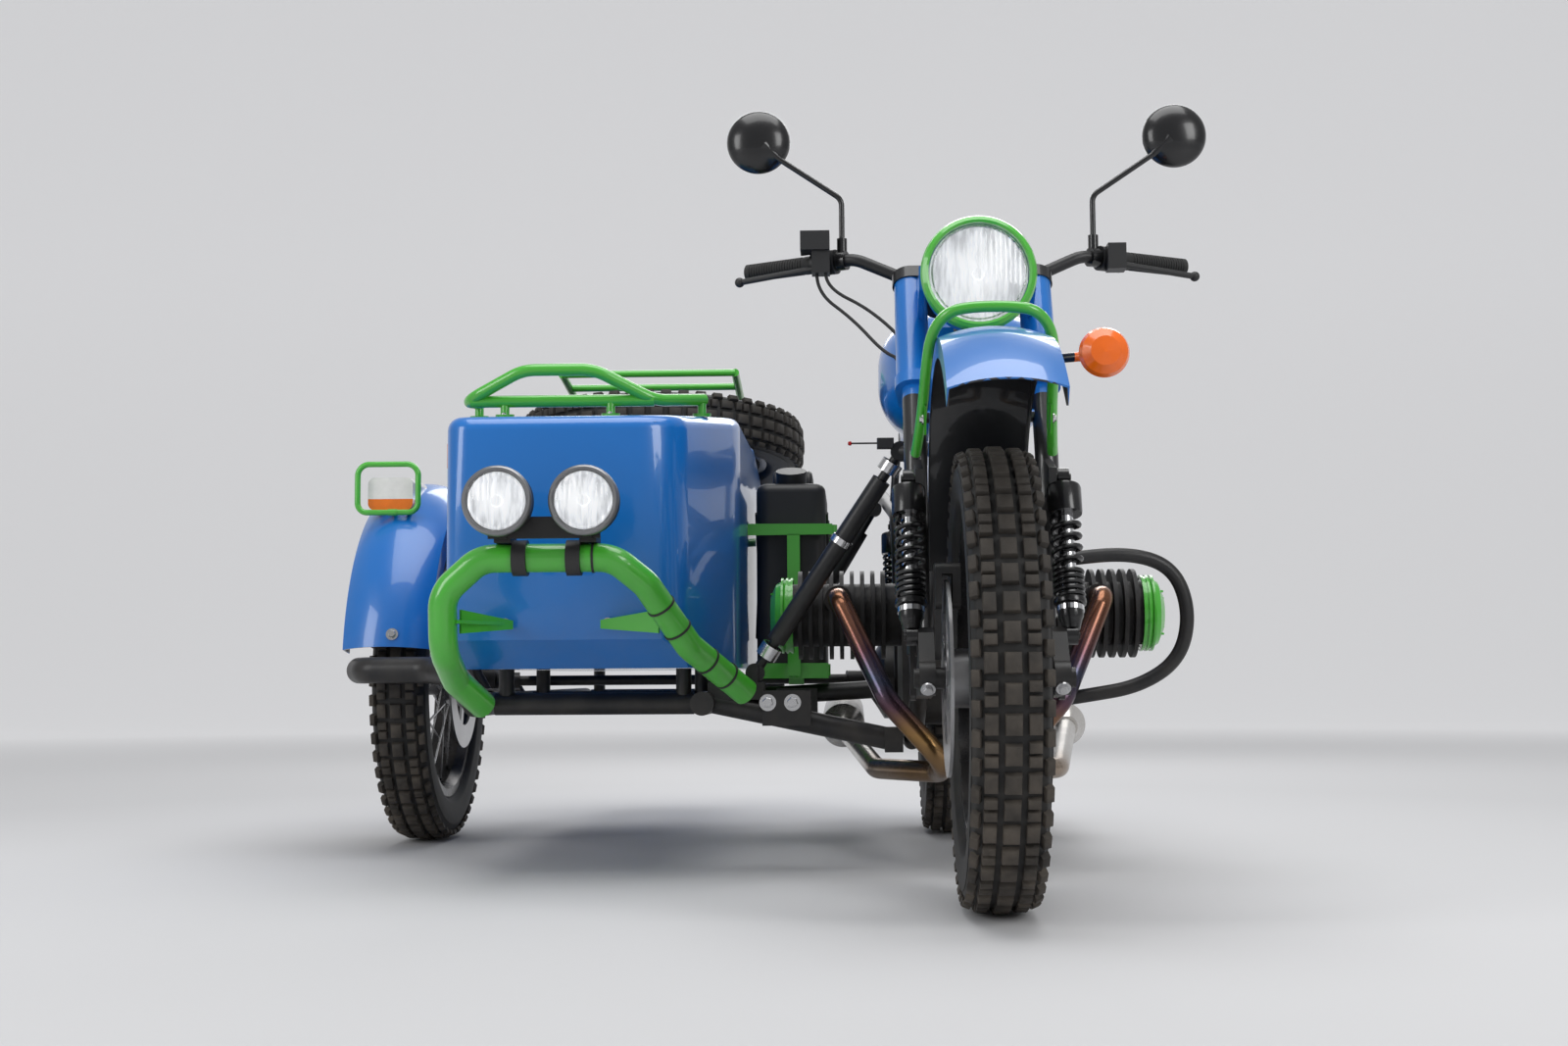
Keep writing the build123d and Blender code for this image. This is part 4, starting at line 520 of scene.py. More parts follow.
for wearer, nodes in WEARERS:
    for node in nodes.split():
        dress(node, wearer)
for node, axle in FENDERS:
    dress(node, fender_paint(node.replace("_", " "), axle))
for name, body, centre, axis in WHEELS:
    dress(f"wheel_{name}", wheel_finish(f"{name} wheel", centre, axis))


# ---- Mesh helpers ----
def settle(made, body, stands_for):
    """Gives a piece its body, and lets it stand for nodes."""
    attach(made, body)
    if stands_for:
        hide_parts(*stands_for)
    return made


def as_mesh(bm, name):
    """A mesh of a bmesh, which is used up."""
    mesh = bpy.data.meshes.new(name)
    bm.to_mesh(mesh)
    bm.free()
    return mesh


def everything(bm):
    return bm.verts[:] + bm.edges[:] + bm.faces[:]


def round_off(bm, geom, offset, segments, affect="EDGES"):
    """Bevels edges or corners to an even curve."""
    return bmesh.ops.bevel(
        bm, geom=geom, offset=offset, segments=segments, profile=0.5, affect=affect, material=-1
    )


def piece(name, bm, materials, stands_for=(), body="chassis", smooth=40.0):
    """Turns a bmesh into a finished piece; smooth is the steepest edge, in degrees, not creased."""
    bmesh.ops.recalc_face_normals(bm, faces=bm.faces)
    mesh = as_mesh(bm, name)
    for material in materials:
        mesh.materials.append(material)
    mesh.shade_smooth()
    mesh.set_sharp_from_angle(angle=radians(smooth))
    return settle(add_object(name, mesh), body, stands_for)


def rod(start, end, radius):
    """The profile of a solid cylinder."""
    return [(start, 0), (start, radius), (end, radius), (end, 0)]


def ring(start, end, inner, outer):
    """The profile of a ring with square edges."""
    return [(start, inner), (start, outer), (end, outer), (end, inner), (start, inner)]


def turn(bm, origin, axis, profile, steps=48, material=0):
    """Spins (distance along the axis, radius) corners round an axis into a closed shape."""
    axis = Vector(axis).normalized()
    side = axis.orthogonal().normalized()
    known = set(bm.faces)
    corners = [bm.verts.new(origin + axis * along + side * radius) for along, radius in profile]
    edges = [bm.edges.new(pair) for pair in zip(corners, corners[1:])]
    drawn = corners + edges
    bmesh.ops.spin(
        bm, geom=drawn, cent=origin, axis=axis, angle=2 * pi, steps=steps, use_merge=True
    )
    bmesh.ops.remove_doubles(bm, verts=bm.verts, dist=1e-6)
    for face in bm.faces:
        if face not in known:
            face.material_index = material


def frame_at(origin, out, along):
    """A matrix whose Z points out and whose Y points along, at an origin."""
    z = out.normalized()
    x = along.cross(z).normalized()
    y = z.cross(x)
    return Matrix.Translation(origin) @ Matrix((x, y, z)).transposed().to_4x4()


def lump(bm, place, size, taper=1.0, chamfer=0.0, material=0):
    """A block standing on a place, narrowed towards its top and chamfered."""
    made = bmesh.ops.create_cube(bm, size=1.0)["verts"]
    wide, long, tall = size
    for vert in made:
        shrink = taper if vert.co.z > 0 else 1.0
        x, y, z = vert.co
        vert.co = (x * wide * shrink, y * long * shrink, (z + 0.5) * tall)
    faces = {face for vert in made for face in vert.link_faces}
    for face in faces:
        face.material_index = material
    if chamfer:
        edges = {edge for face in faces for edge in face.edges}
        top = [edge for edge in edges if all(v.co.z > tall * 0.9 for v in edge.verts)]
        made += round_off(bm, top, chamfer, 1)["verts"]
        made = list({vert for vert in made if vert.is_valid})
    bmesh.ops.transform(bm, matrix=place, verts=made)


def tube_piece(name, points, radius, material, body, stands_for):
    """A round tube through points, as a NURBS curve."""
    curve = bpy.data.curves.new(name, "CURVE")
    curve.dimensions = "3D"
    line = curve.splines.new("NURBS")
    line.points.add(len(points) - 1)
    for spot, point in zip(line.points, points):
        spot.co = (*point, 1)
    line.order_u = 3
    line.use_endpoint_u = True
    curve.bevel_depth = radius
    curve.bevel_resolution = 4
    curve.resolution_u = 10
    curve.use_fill_caps = True
    curve.materials.append(material)
    return settle(add_object(name, curve), body, stands_for)


# ---- Control cables ----
CABLE = 0.006
# name, length and route, from the control block down to the lower yoke
CABLES = (
    ("clutch_cable", 0.335, (
        (-0.2682, 0.4757, 1.0606), (-0.2682, 0.4757, 1.0269), (-0.205, 0.455, 0.975),
        (-0.152, 0.4, 0.905), (-0.122, 0.3614, 0.8867), (-0.122, 0.3279, 0.821),
    )),
    ("brake_cable", 0.337, (
        (-0.2522, 0.4717, 1.0606), (-0.2522, 0.4717, 1.0349), (-0.172, 0.452, 0.99),
        (-0.104, 0.3839, 0.9089), (-0.104, 0.3369, 0.8165),
    )),
)


def lay_cables():
    for name, length, spots in CABLES:
        route = [bike(*spot) for spot in spots]
        cable = tube_piece(name, route, CABLE / 2, RUBBER, "steering", ["cables"])


lay_cables()

# ---- Tyres ----
TYRE_R = 0.345
TREAD_EDGE = 0.045  # half width of the crowned tread
CROWN = 0.006  # fall of the tread from its middle to its edge
KNOB = 0.009  # depth of the tread
PITCHES = 52  # rows of knobs round a tyre
TURNED_STEPS = 104
# x, row, width, length and lean of the knobs on one side of two rows
KNOBS = (
    (0.0, 0, 0.024, 0.03, 0.0),
    (0.029, -0.24, 0.019, 0.016, 0.0),
    (0.029, 0.24, 0.019, 0.016, 0.0),
    (0.0465, 0.5, 0.013, 0.024, 0.42),
    (0.0, 1, 0.024, 0.03, 0.0),
    (0.029, 1, 0.019, 0.03, 0.0),
    (0.0465, 1.5, 0.013, 0.024, 0.42),
)
SUNK, SUNK_LEANING = 0.0014, 0.003  # how far a knob's foot is sunk in the casing
TREAD_XS = (-0.045, -0.03, -0.015, 0, 0.015, 0.03, 0.045)
# half width and radius of the casing, from the tread down to the bead
TYRE_SIDE = (
    (0.0495, 0.322), (0.0535, 0.312), (0.0545, 0.312), (0.0552, 0.3), (0.0552, 0.285),
    (0.052, 0.27), (0.052, 0.266), (0.045, 0.258), (0.04, 0.2555), (0.0378, 0.252),
    (0.036, 0.2425),
)


def crown(x):
    """Radius of the tread's face at a distance from the middle."""
    return TYRE_R - CROWN * (x / TREAD_EDGE) ** 2


def knobs(bm, centre, axis):
    """Two rows of tread blocks, repeated round the tyre."""
    radial = axis.orthogonal().normalized()
    for x, row, width, length, lean in KNOBS:
        spin = Matrix.Rotation(row * 2 * pi / PITCHES, 3, axis)
        up, along = spin @ radial, spin @ axis.cross(radial)
        foot = crown(x) - KNOB - (SUNK_LEANING if lean else SUNK)
        for side in (-1, 1) if x else (1,):
            root = centre + axis * (side * x) + up * foot
            place = frame_at(root, up + axis * (side * lean), along)
            lump(bm, place, (width, length, KNOB + 0.001), 0.9, 0.0008, material=1)
    more = PITCHES // 2 - 1
    whole, angle = everything(bm), 2 * pi * more / (more + 1)
    bmesh.ops.spin(
        bm, geom=whole, cent=centre, axis=axis, angle=angle, steps=more, use_duplicate=True
    )


def tyre(name, body, centre, axis):
    bm = bmesh.new()
    knobs(bm, centre, axis)
    floor = [(x, crown(x) - KNOB) for x in TREAD_XS]
    profile = [(-x, r) for x, r in TYRE_SIDE[::-1]] + floor + list(TYRE_SIDE)
    turn(bm, centre, axis, profile + [profile[0]], TURNED_STEPS)
    stands_for = [f"tyre_{name}"]
    piece(f"{name}_tyre", bm, [WALL, TREAD], stands_for, body, smooth=50)


for name, body, centre, axis in WHEELS:
    tyre(name, body, centre, axis)

# ---- Suspension units ----
SPRING_R = 0.0208
WIRE = 0.0041
WIRE_SIDES = 8
COIL_STEPS = 20  # steps in each turn of a spring
SPRING_TOP = 0.068
SPRING_LOW = 0.058
LOOSE_SHARE = 0.62  # share of the spring that is wound wide
LOOSE_TURNS, TIGHT_TURNS = 4.5, 5.0
CAP_PROFILE = [
    (0.014, 0), (0.014, 0.02), (0.017, 0.0255), (0.021, 0.027), (0.06, 0.027),
    (0.064, 0.0262), (0.064, 0.022), (0.064, 0),
]
# body; x and the (y, z) of the upper and lower eye
UNITS = {
    "fork_shocks": ("steering", 0.121, (0.126, 0.658), (0.042, 0.408)),
    "rear_shocks": ("chassis", 0.116, (1.484, 0.688), (1.45, 0.464)),
}


def coil(bm, start, run, turns):
    """A coil of round wire about the line from start along run, spun with a rise at each step."""
    axis = run.normalized()
    side = axis.orthogonal().normalized()
    wire = bmesh.ops.create_circle(bm, segments=WIRE_SIDES, radius=WIRE, cap_ends=True)["verts"]
    place = frame_at(start + side * SPRING_R, axis.cross(side), axis)
    bmesh.ops.transform(bm, matrix=place, verts=wire)
    cap = [face for face in wire[0].link_faces if all(vert in wire for vert in face.verts)]
    steps = int(turns * COIL_STEPS)
    bmesh.ops.spin(
        bm, geom=cap, cent=start, axis=axis, dvec=run / steps, angle=2 * pi * turns, steps=steps
    )


def suspension_unit(bm, top, low):
    """A coil-over unit: cap, damper, spring, collars and the two eyes."""
    run = low - top
    length = run.length
    down = run.normalized()
    seat = length - SPRING_LOW
    turn(bm, top, down, CAP_PROFILE, 40)
    turn(bm, top, down, rod(0.06, length - 0.055, 0.0125), 24, 1)
    lower_cup = [
        (seat, 0), (seat, 0.0245), (seat + 0.004, 0.0252), (seat + 0.008, 0.0245),
        (seat + 0.01, 0.0195), (length - 0.03, 0.0195), (length - 0.024, 0.0165),
        (length - 0.01, 0.013), (length - 0.01, 0),
    ]
    turn(bm, top, down, lower_cup, 40)
    turn(bm, top, down, ring(seat + 0.012, seat + 0.02, 0.0192, 0.0212), 32, 1)
    start = SPRING_TOP + 0.002
    loose = (seat - SPRING_TOP) * LOOSE_SHARE
    tight = seat - SPRING_TOP - loose - 0.006
    coil(bm, top + down * start, down * loose, LOOSE_TURNS)
    coil(bm, top + down * (start + loose), down * tight, TIGHT_TURNS)
    for eye in (top, low):
        turn(bm, eye - ACROSS * 0.0085, ACROSS, ring(0, 0.017, 0.0065, 0.0138), 28)


def suspension():
    for node, (body, x, top, low) in UNITS.items():
        bm = bmesh.new()
        for side in (-x, x):
            suspension_unit(bm, bike(side, *top), bike(side, *low))
        piece(node + "_detail", bm, [GLOSS, CHROME], [node], body)


suspension()

# ---- Valve cover ribs ----
RIB_PITCH = 0.013
RIB_CIRCLE = 0.058  # the ribs end on a circle of this radius
COLLAR_PITCH = 0.009


def cover_ribs():
    """Cooling ribs across each green valve cover, and rings round its edge."""
    bm = bmesh.new()
    low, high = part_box("valve_covers")
    reach = (high.x - low.x) / 2 - 0.012
    for side in (-1, 1):
        out = ACROSS * side
        face = middle("valve_covers") + out * reach
        for k in range(-3, 4):
            half = (RIB_CIRCLE**2 - (k * RIB_PITCH) ** 2) ** 0.5
            place = frame_at(face + UP * (k * RIB_PITCH), out, BACK)
            lump(bm, place, (0.0045, 1.25 * half, 0.012), 0.85, 0.001)
        for k in range(3):
            start = face - out * (0.012 + COLLAR_PITCH * k)
            turn(bm, start, out, ring(0, 0.004, 0.0665, 0.0705), 56)
    piece("cover_ribs", bm, [PAINT_GREEN])


cover_ribs()

# ---- Grips ----
GRIP_R, GROOVE_R = 0.0163, 0.015
RIB_STEP = 0.0052
GRIP_PAST = 0.0058  # how far a grip reaches past its bar


def grips():
    """Ribbed rubber grips with a flange and a rounded end."""
    bm = bmesh.new()
    for side in (-1, 1):
        end = bike(side * 0.392, 0.572, 1.084)
        inner = bike(side * 0.2741, 0.5173, 1.0865)
        inward = (inner - end).normalized()
        start = end - inward * GRIP_PAST
        long = (inner - start).length
        profile = [(0, 0), (0, 0.0135), (0.002, GRIP_R), (0.006, GRIP_R)]
        for k in range(int((long - 0.026) / RIB_STEP)):
            at = 0.008 + k * RIB_STEP
            profile += [(at, GRIP_R), (at + 0.003, GRIP_R)]
            profile += [(at + 0.0036, GROOVE_R), (at + 0.0048, GROOVE_R)]
        profile += [(long - 0.016, GRIP_R), (long - 0.004, 0.0165), (long, 0.0165), (long, 0.0113)]
        turn(bm, start, inward, profile, 28)
    piece("ribbed_grips", bm, [RUBBER], ["grips"], "steering")


grips()


# ---- Lamps ----
def dish(name, node, centre, radius, depth, body):
    """A lit reflector behind a domed, fluted lens, in place of a lamp's plain lens."""
    bm = bmesh.new()
    bowl = [
        (0.0005, 0), (0.0012, radius * 0.35), (0.003, radius * 0.7), (0.006, radius - 0.003),
        (0.001, radius - 0.003), (0.0004, 0),
    ]
    turn(bm, centre, AHEAD, bowl, 64)
    turn(bm, centre, AHEAD, [(0.001, 0.01), (0.007, 0.009), (0.008, 0)], 24)
    lit = lit_reflector(name + " dish", centre, radius)
    piece(name + "_reflector", bm, [lit], [node], body)
    bm = bmesh.new()
    lens = [
        (depth, 0), (depth - 0.0006, radius * 0.3), (depth - 0.003, radius * 0.62),
        (depth - 0.008, radius - 0.004), (0.0065, radius - 0.0005), (0.0065, radius - 0.003),
        (depth - 0.011, radius - 0.007), (depth - 0.0055, radius * 0.6),
        (depth - 0.003, radius * 0.3), (depth - 0.0025, 0),
    ]
    turn(bm, centre, AHEAD, lens, 64)
    piece(name + "_glass", bm, [GLASS], [node], body)


DRIVE_LAMPS = {"outer": -0.788, "inner": -0.646}
BEZEL_PROFILE = [
    (-0.004, 0.0572), (0.002, 0.0582), (0.007, 0.0572), (0.0095, 0.0545), (0.0095, 0.0515),
    (0.005, 0.0492), (0.0002, 0.0492), (-0.004, 0.0572),
]


def lamps():
    dish("headlamp", "headlamp_lens", bike(0, 0.222, 1.002), 0.0817, 0.0245, "steering")
    for label, x in DRIVE_LAMPS.items():
        centre = bike(x, 0.2137, 0.637)
        dish(f"driving_lamp_{label}", "driving_lenses", centre, 0.05, 0.015, "chassis")
        bezel = bmesh.new()
        turn(bezel, centre, AHEAD, BEZEL_PROFILE, 72)
        piece(f"driving_lamp_{label}_bezel", bezel, [BEZEL])


lamps()

# ---- Mirrors ----
MIRROR_BACK = [
    (-0.0046, 0), (-0.0046, 0.053), (-0.002, 0.0562), (0.002, 0.057), (0.007, 0.0564),
    (0.013, 0.054), (0.019, 0.048), (0.0245, 0.0385), (0.0285, 0.0265), (0.031, 0.0135),
    (0.0318, 0),
]


def mirror_heads():
    """Domed backs with a mirror glass on the rider's side, and the tapered neck of each stem."""
    bm = bmesh.new()
    for side in (-1, 1):
        face = bike(side * 0.372, 0.495, 1.308)
        turn(bm, face + BACK * 0.012, AHEAD, MIRROR_BACK, 72)
        turn(bm, face + BACK * 0.0168, AHEAD, rod(-0.0006, 0.0002, 0.0515), 64, 1)
        foot = face + Vector((-side * 0.04, -0.004, -0.036))
        head = face + Vector((-side * 0.01, -0.006, -0.01))
        way = head - foot
        long = way.length
        neck = [(0, 0), (0, 0.0058), (0.006, 0.0064), (long * 0.55, 0.0095), (long, 0.015),
                (long, 0)]
        turn(bm, foot, way, neck, 28)
    piece("mirror_heads", bm, [GLOSS, CHROME], body="steering")


mirror_heads()

# ---- Fender hoop ----
# one side of the hoop, from its foot up to the middle
HOOP = (
    (0.108, 0.15, 0.7), (0.103, 0.105, 0.73), (0.099, 0.06, 0.768), (0.096, -0.004, 0.815),
    (0.09, -0.052, 0.858), (0.066, -0.076, 0.884), (0.03, -0.082, 0.8895),
)
HOOP_R = 0.0085


def fender_hoop():
    """The bent tube over the front fender, with its two flattened feet."""
    points = [bike(-x, y, z) for x, y, z in HOOP] + [bike(*spot) for spot in HOOP[::-1]]
    tube_piece(
        "rounded_hoop", points, HOOP_R, PAINT_GREEN, "steering", ["fender_hoop"]
    )
    bm = bmesh.new()
    for side in (-1, 1):
        place = frame_at(bike(side * 0.0975, 0.055, 0.742), ACROSS * -side, Vector((0, 0.35, -0.9)))
        lump(bm, place, (0.02, 0.046, 0.003), 0.95, 0.0006)
    piece("hoop_feet", bm, [PAINT_GREEN], body="steering")


fender_hoop()

# ---- Sidecar body ----
BODY_OUT, BODY_IN = -0.925, -0.425
BODY_FRONT, BODY_REAR = 0.43, 2.12
BULKHEAD, SHELL = 1.33, 0.012
NOSE_IN, NOSE_BACK = 0.095, 0.33  # how far the nose's inner side is drawn in, over this length
# side outline, y and z, clockwise from the nose's foot
BODY_SIDE = (
    (0.5, 0.365), (0.446, 0.415), (0.43, 0.575), (0.43, 0.806), (0.81, 0.85),
    (1.338, 0.8575), (2.12, 0.7615), (2.12, 0.485), (2.01, 0.365),
)
# corners seen from above, with the radius of each
BODY_PLAN = (
    (BODY_OUT, BODY_REAR, 0.13),
    (BODY_OUT, BODY_FRONT, 0.046),
    (BODY_IN - NOSE_IN, BODY_FRONT, 0.095),
    (BODY_IN, BODY_FRONT + NOSE_BACK, 0.3),
    (BODY_IN, BODY_REAR, 0.13),
)
COCKPIT = (0.845, BULKHEAD - 0.024)
TRUNK = (BULKHEAD + 0.04, BODY_REAR - 0.09)
RIM = 0.034  # the deck left beside each opening
OPENING_R = 0.06
FAR = 9  # beyond either end of the body
EDGE_ROUND = 0.024
ROUND_ABOVE = 0.7  # only the edges of the deck are rounded
HINGE = bike(-0.675, 1.322, 0.872)
HINGE_XS = (-0.12, 0.12)


def only(kind, parts):
    """The parts of one kind, such as vertices, out of some geometry."""
    return [part for part in parts if isinstance(part, kind)]


def prism(outline, low, tall, segments):
    """An upright prism over (x, y, corner radius) corners."""
    bm = bmesh.new()
    corners = [bm.verts.new(bike(x, y, low)) for x, y, _ in outline]
    bm.faces.new(corners)
    for corner, (_, _, radius) in zip(corners, outline):
        arms = [edge.other_vert(corner).co - corner.co for edge in corner.link_edges]
        reach = radius / tan(arms[0].angle(arms[1]) / 2)
        round_off(bm, [corner], reach, segments, "VERTICES")
    grown = bmesh.ops.extrude_face_region(bm, geom=bm.faces[:])["geom"]
    bmesh.ops.translate(bm, vec=(0, 0, tall), verts=only(BMVert, grown))
    bmesh.ops.recalc_face_normals(bm, faces=bm.faces)
    return bm


def trim(bm, spot, out):
    """Cuts away what lies beyond a plane and closes the cut."""
    cut = bmesh.ops.bisect_plane(
        bm, geom=everything(bm), dist=1e-6, plane_co=spot, plane_no=out, clear_outer=True
    )
    rim = only(BMEdge, cut["geom_cut"])
    if rim:
        bmesh.ops.holes_fill(bm, edges=rim, sides=0)


def body_form(grow):
    """The body's plan extruded, then trimmed by each edge of its side outline."""
    bm = prism(BODY_PLAN, 0.2, 0.9, 14)
    for (y0, z0), (y1, z1) in zip(BODY_SIDE, BODY_SIDE[1:] + BODY_SIDE[:1]):
        out = Vector((0, z0 - z1, y1 - y0)).normalized()
        trim(bm, bike(0, y0, z0) + out * grow, out)
    if grow:
        mid = bike((BODY_OUT + BODY_IN) / 2, 0, 0)
        wide = 1 + 2 * grow / (BODY_IN - BODY_OUT)
        bmesh.ops.scale(bm, vec=(wide, 1, 1), verts=bm.verts, space=Matrix.Translation(-mid))
    return bm


def as_object(bm, name):
    bmesh.ops.recalc_face_normals(bm, faces=bm.faces)
    return add_object(name, as_mesh(bm, name))


def opening(y0, y1):
    """A rounded upright cutter for an opening in the deck."""
    x0, x1 = BODY_OUT + RIM, BODY_IN - RIM
    plan = [(x, y, OPENING_R) for x, y in ((x0, y0), (x1, y0), (x1, y1), (x0, y1))]
    return as_object(prism(plan, 0.66, 0.4, 8), "opening")


def hollowed(body, cutters):
    """A bmesh of a body with its cutters taken out of it. Both are used up."""
    for cutter in cutters:
        hollow = body.modifiers.new("hollow", "BOOLEAN")
        hollow.operation = "DIFFERENCE"
        hollow.solver = "EXACT"
        hollow.object = cutter
    depsgraph = bpy.context.evaluated_depsgraph_get()
    mesh = bpy.data.meshes.new_from_object(body.evaluated_get(depsgraph))
    for spent in cutters + [body]:
        bpy.data.objects.remove(spent)
    bm = bmesh.new()
    bm.from_mesh(mesh)
    bpy.data.meshes.remove(mesh)
    bmesh.ops.remove_doubles(bm, verts=bm.verts, dist=1e-5)
    return bm


def hinge_knuckles(bm):
    """The body's half of the lid's two hinges: a pin held by a leaf at each end."""
    for x in HINGE_XS:
        turn(bm, HINGE + ACROSS * x, ACROSS, rod(-0.042, 0.042, 0.004), 16)
        for end in (-0.037, 0.037):
            leaf = HINGE + ACROSS * (x + end)
            turn(bm, leaf, ACROSS, rod(-0.005, 0.005, 0.007), 20)
            place = frame_at(leaf - Vector((0.005, 0, 0.014)), ACROSS, UP)
            lump(bm, place, (0.014, 0.028, 0.01))


def rounded_body():
    """The tub with rounded edges, hollowed into the cockpit and the trunk."""
    bm = body_form(0.0)
    deck_edges = [
        edge
        for edge in bm.edges
        if edge.is_manifold
        and edge.calc_face_angle(0) > radians(35)
        and edge.verts[0].co.z > ROUND_ABOVE
    ]
    round_off(bm, deck_edges, EDGE_ROUND, 6)
    body = as_object(bm, "rounded_body")
    cutters = []
    for front, rear in ((-1, BULKHEAD), (BULKHEAD + SHELL, FAR)):
        room = body_form(-SHELL)
        trim(room, bike(0, front, 0), AHEAD)
        trim(room, bike(0, rear, 0), BACK)
        cutters.append(as_object(room, "room"))
    cutters += [opening(*COCKPIT), opening(*TRUNK)]
    bm = hollowed(body, cutters)
    hinge_knuckles(bm)
    piece("rounded_body", bm, [PAINT_BLUE], ["sidecar_body"], smooth=32)


rounded_body()


# ---- Small fittings ----
def bolt(bm, spot, out, size=0.008):
    """A washer and a six-sided head."""
    way = Vector(out).normalized()
    washer = [(-0.001, 0), (-0.001, size * 1.55), (0.0012, size * 1.5), (0.0012, 0)]
    head = [
        (0, 0), (0, size), (size * 0.55, size), (size * 0.68, size * 0.86), (size * 0.68, 0),
    ]
    turn(bm, spot, way, washer, 24)
    turn(bm, spot + way * 0.0012, way, head, 6)


def tapered_plate(bm, start, end, tall, low, thick):
    """An upright plate from start to end whose height goes from tall to low."""
    across = (end - start).normalized().cross(UP).normalized()
    for vert in bmesh.ops.create_cube(bm, size=1.0)["verts"]:
        foot, high = (end, low) if vert.co.x > 0 else (start, tall)
        vert.co = foot + across * (thick * vert.co.y) + UP * (high * vert.co.z)


def band(bm, spot, way, radius, wide=0.004, thick=0.0016):
    turn(bm, spot, way, ring(-wide / 2, wide / 2, radius, radius + thick), 40)


STRUT = (bike(-0.124, 0.474, 0.742), bike(-0.386, 0.566, 0.356))
STRUT_R = 0.0165
STRUT_BANDS = ((0.07, 0.02), (0.4, 0.012), (0.9, 0.024))  # share of the strut, and width
BUMPER_R = 0.024
GUSSETS = (
    (bike(-0.868, 0.318, 0.444), bike(-0.8005, 0.4275, 0.441)),
    (bike(-0.54, 0.38, 0.444), bike(-0.6455, 0.4275, 0.441)),
)
BUMPER_CAPS = (-0.813, -0.634)
NOSE_RAIL_BOLTS = (-0.838, -0.645)
JOINT_BOLTS = (-0.362, -0.318)
# place and direction of each cable tie round the bumper
TIES = (
    ((-0.64, 0.29, 0.548), (1, 0, 0)),
    ((-0.533, 0.344, 0.469), (66, 74, -103)),
    ((-0.508, 0.372, 0.43), (66, 74, -103)),
    ((-0.462, 0.425, 0.377), (90, 106, -80)),
    ((-0.432, 0.46, 0.351), (90, 106, -80)),
)


def gussets():
    """Tapered plates between the bumper and its mounts."""
    bm = bmesh.new()
    for start, end in GUSSETS:
        tapered_plate(bm, start, end, 0.04, 0.015, 0.005)
    piece("bumper_gussets", bm, [PAINT_GREEN])


def chassis_bolts():
    """Bolts of the bumper, fender, nose rail and lower joints, and the clamps on the strut."""
    bm = bmesh.new()
    for x in BUMPER_CAPS:
        turn(bm, bike(x, 0.444, 0.443), AHEAD, rod(0, 0.0146, 0.006), 20)
        bolt(bm, bike(x, 0.429, 0.443), AHEAD, 0.0065)
    bolt(bm, bike(-1.1229, 0.8888, 0.4371), (0.11, -0.97, 0.22))
    for x in NOSE_RAIL_BOLTS:
        bolt(bm, bike(x, 0.5405, 0.8248), (0, -0.115, 0.99), 0.0033)
    for x in JOINT_BOLTS:
        bolt(bm, bike(x, 0.53, 0.303), AHEAD, 0.01)
    way = STRUT[1] - STRUT[0]
    for share, wide in STRUT_BANDS:
        band(bm, STRUT[0] + way * share, way, STRUT_R, wide, 0.0032)
    piece("bolts", bm, [STEEL])


def fork_bolts():
    """Bolts of the leading arms and of the fender hoop's feet, which turn with the fork."""
    bm = bmesh.new()
    for side in (-1, 1):
        bolt(bm, bike(side * 0.0998, -0.0216, 0.3288), (0, -0.76, -0.65), 0.0075)
        bolt(bm, bike(side * 0.1, 0.055, 0.742), ACROSS * side, 0.0055)
    piece("fork_bolts", bm, [STEEL], body="steering")


def fittings():
    """Cable ties, the switch at the head of the strut and the side reflector."""
    bm = bmesh.new()
    for spot, along in TIES:
        band(bm, bike(*spot), along, BUMPER_R)
    switch = frame_at(bike(-0.15, 0.47, 0.7555), AHEAD, ACROSS)
    lump(bm, switch, (0.02, 0.03, 0.014), 0.92, 0.001)
    turn(bm, bike(-0.164, 0.464, 0.756), -ACROSS, rod(0, 0.046, 0.0016), 12)
    piece("ties_and_switch", bm, [MOULDING])

    bm = bmesh.new()
    tip = [(0, 0), (0, 0.0032), (0.003, 0.0042), (0.006, 0.003), (0.0065, 0)]
    turn(bm, bike(-0.2095, 0.464, 0.756), -ACROSS, tip, 16)
    piece("switch_tip", bm, [RED])

    bm = bmesh.new()
    place = frame_at(bike(-0.9245, 0.505, 0.745), -ACROSS, UP)
    lump(bm, place, (0.018, 0.052, 0.007), 0.86, 0.0012)
    piece("side_reflector", bm, [AMBER])


gussets()
chassis_bolts()
fork_bolts()
fittings()

# ---- Can holder's flat bars and the engine guard ----
CAN_FRONT = 1.0355
GUARD_R = 0.0125
# one tube of the guard, from the frame's upper end round to its lower end
GUARD = (
    (0.072, 0.456, 0.536), (0.17, 0.464, 0.552), (0.28, 0.474, 0.56), (0.352, 0.482, 0.532),
    (0.378, 0.488, 0.455), (0.36, 0.494, 0.375), (0.29, 0.498, 0.328), (0.195, 0.501, 0.312),
    (0.1, 0.504, 0.298),
)


def holder_bars():
    """A flat green strap across the can, and the upright that carries it."""
    bm = bmesh.new()
    strap = (bike(-0.424, CAN_FRONT, 0.65), bike(-0.25, CAN_FRONT, 0.65))
    upright = (bike(-0.343, CAN_FRONT, 0.495), bike(-0.317, CAN_FRONT, 0.495))
    tapered_plate(bm, *strap, 0.024, 0.022, 0.003)
    tapered_plate(bm, *upright, 0.29, 0.29, 0.003)
    piece("holder_straps", bm, [PAINT_GREEN])


def engine_guard():
    """The tube loop that stands in front of the left cylinder."""
    points = [bike(*spot) for spot in GUARD]
    tube_piece(
        "rounded_guard", points, GUARD_R, POWDER, "chassis", ["engine_guard"]
    )


holder_bars()
engine_guard()

# ---- Soft seats ----
CHANNEL = 0.005  # half width of a sewn channel
CHANNEL_DEEP = 0.0045
PRESSURE = 4.0
FRAMES = 20


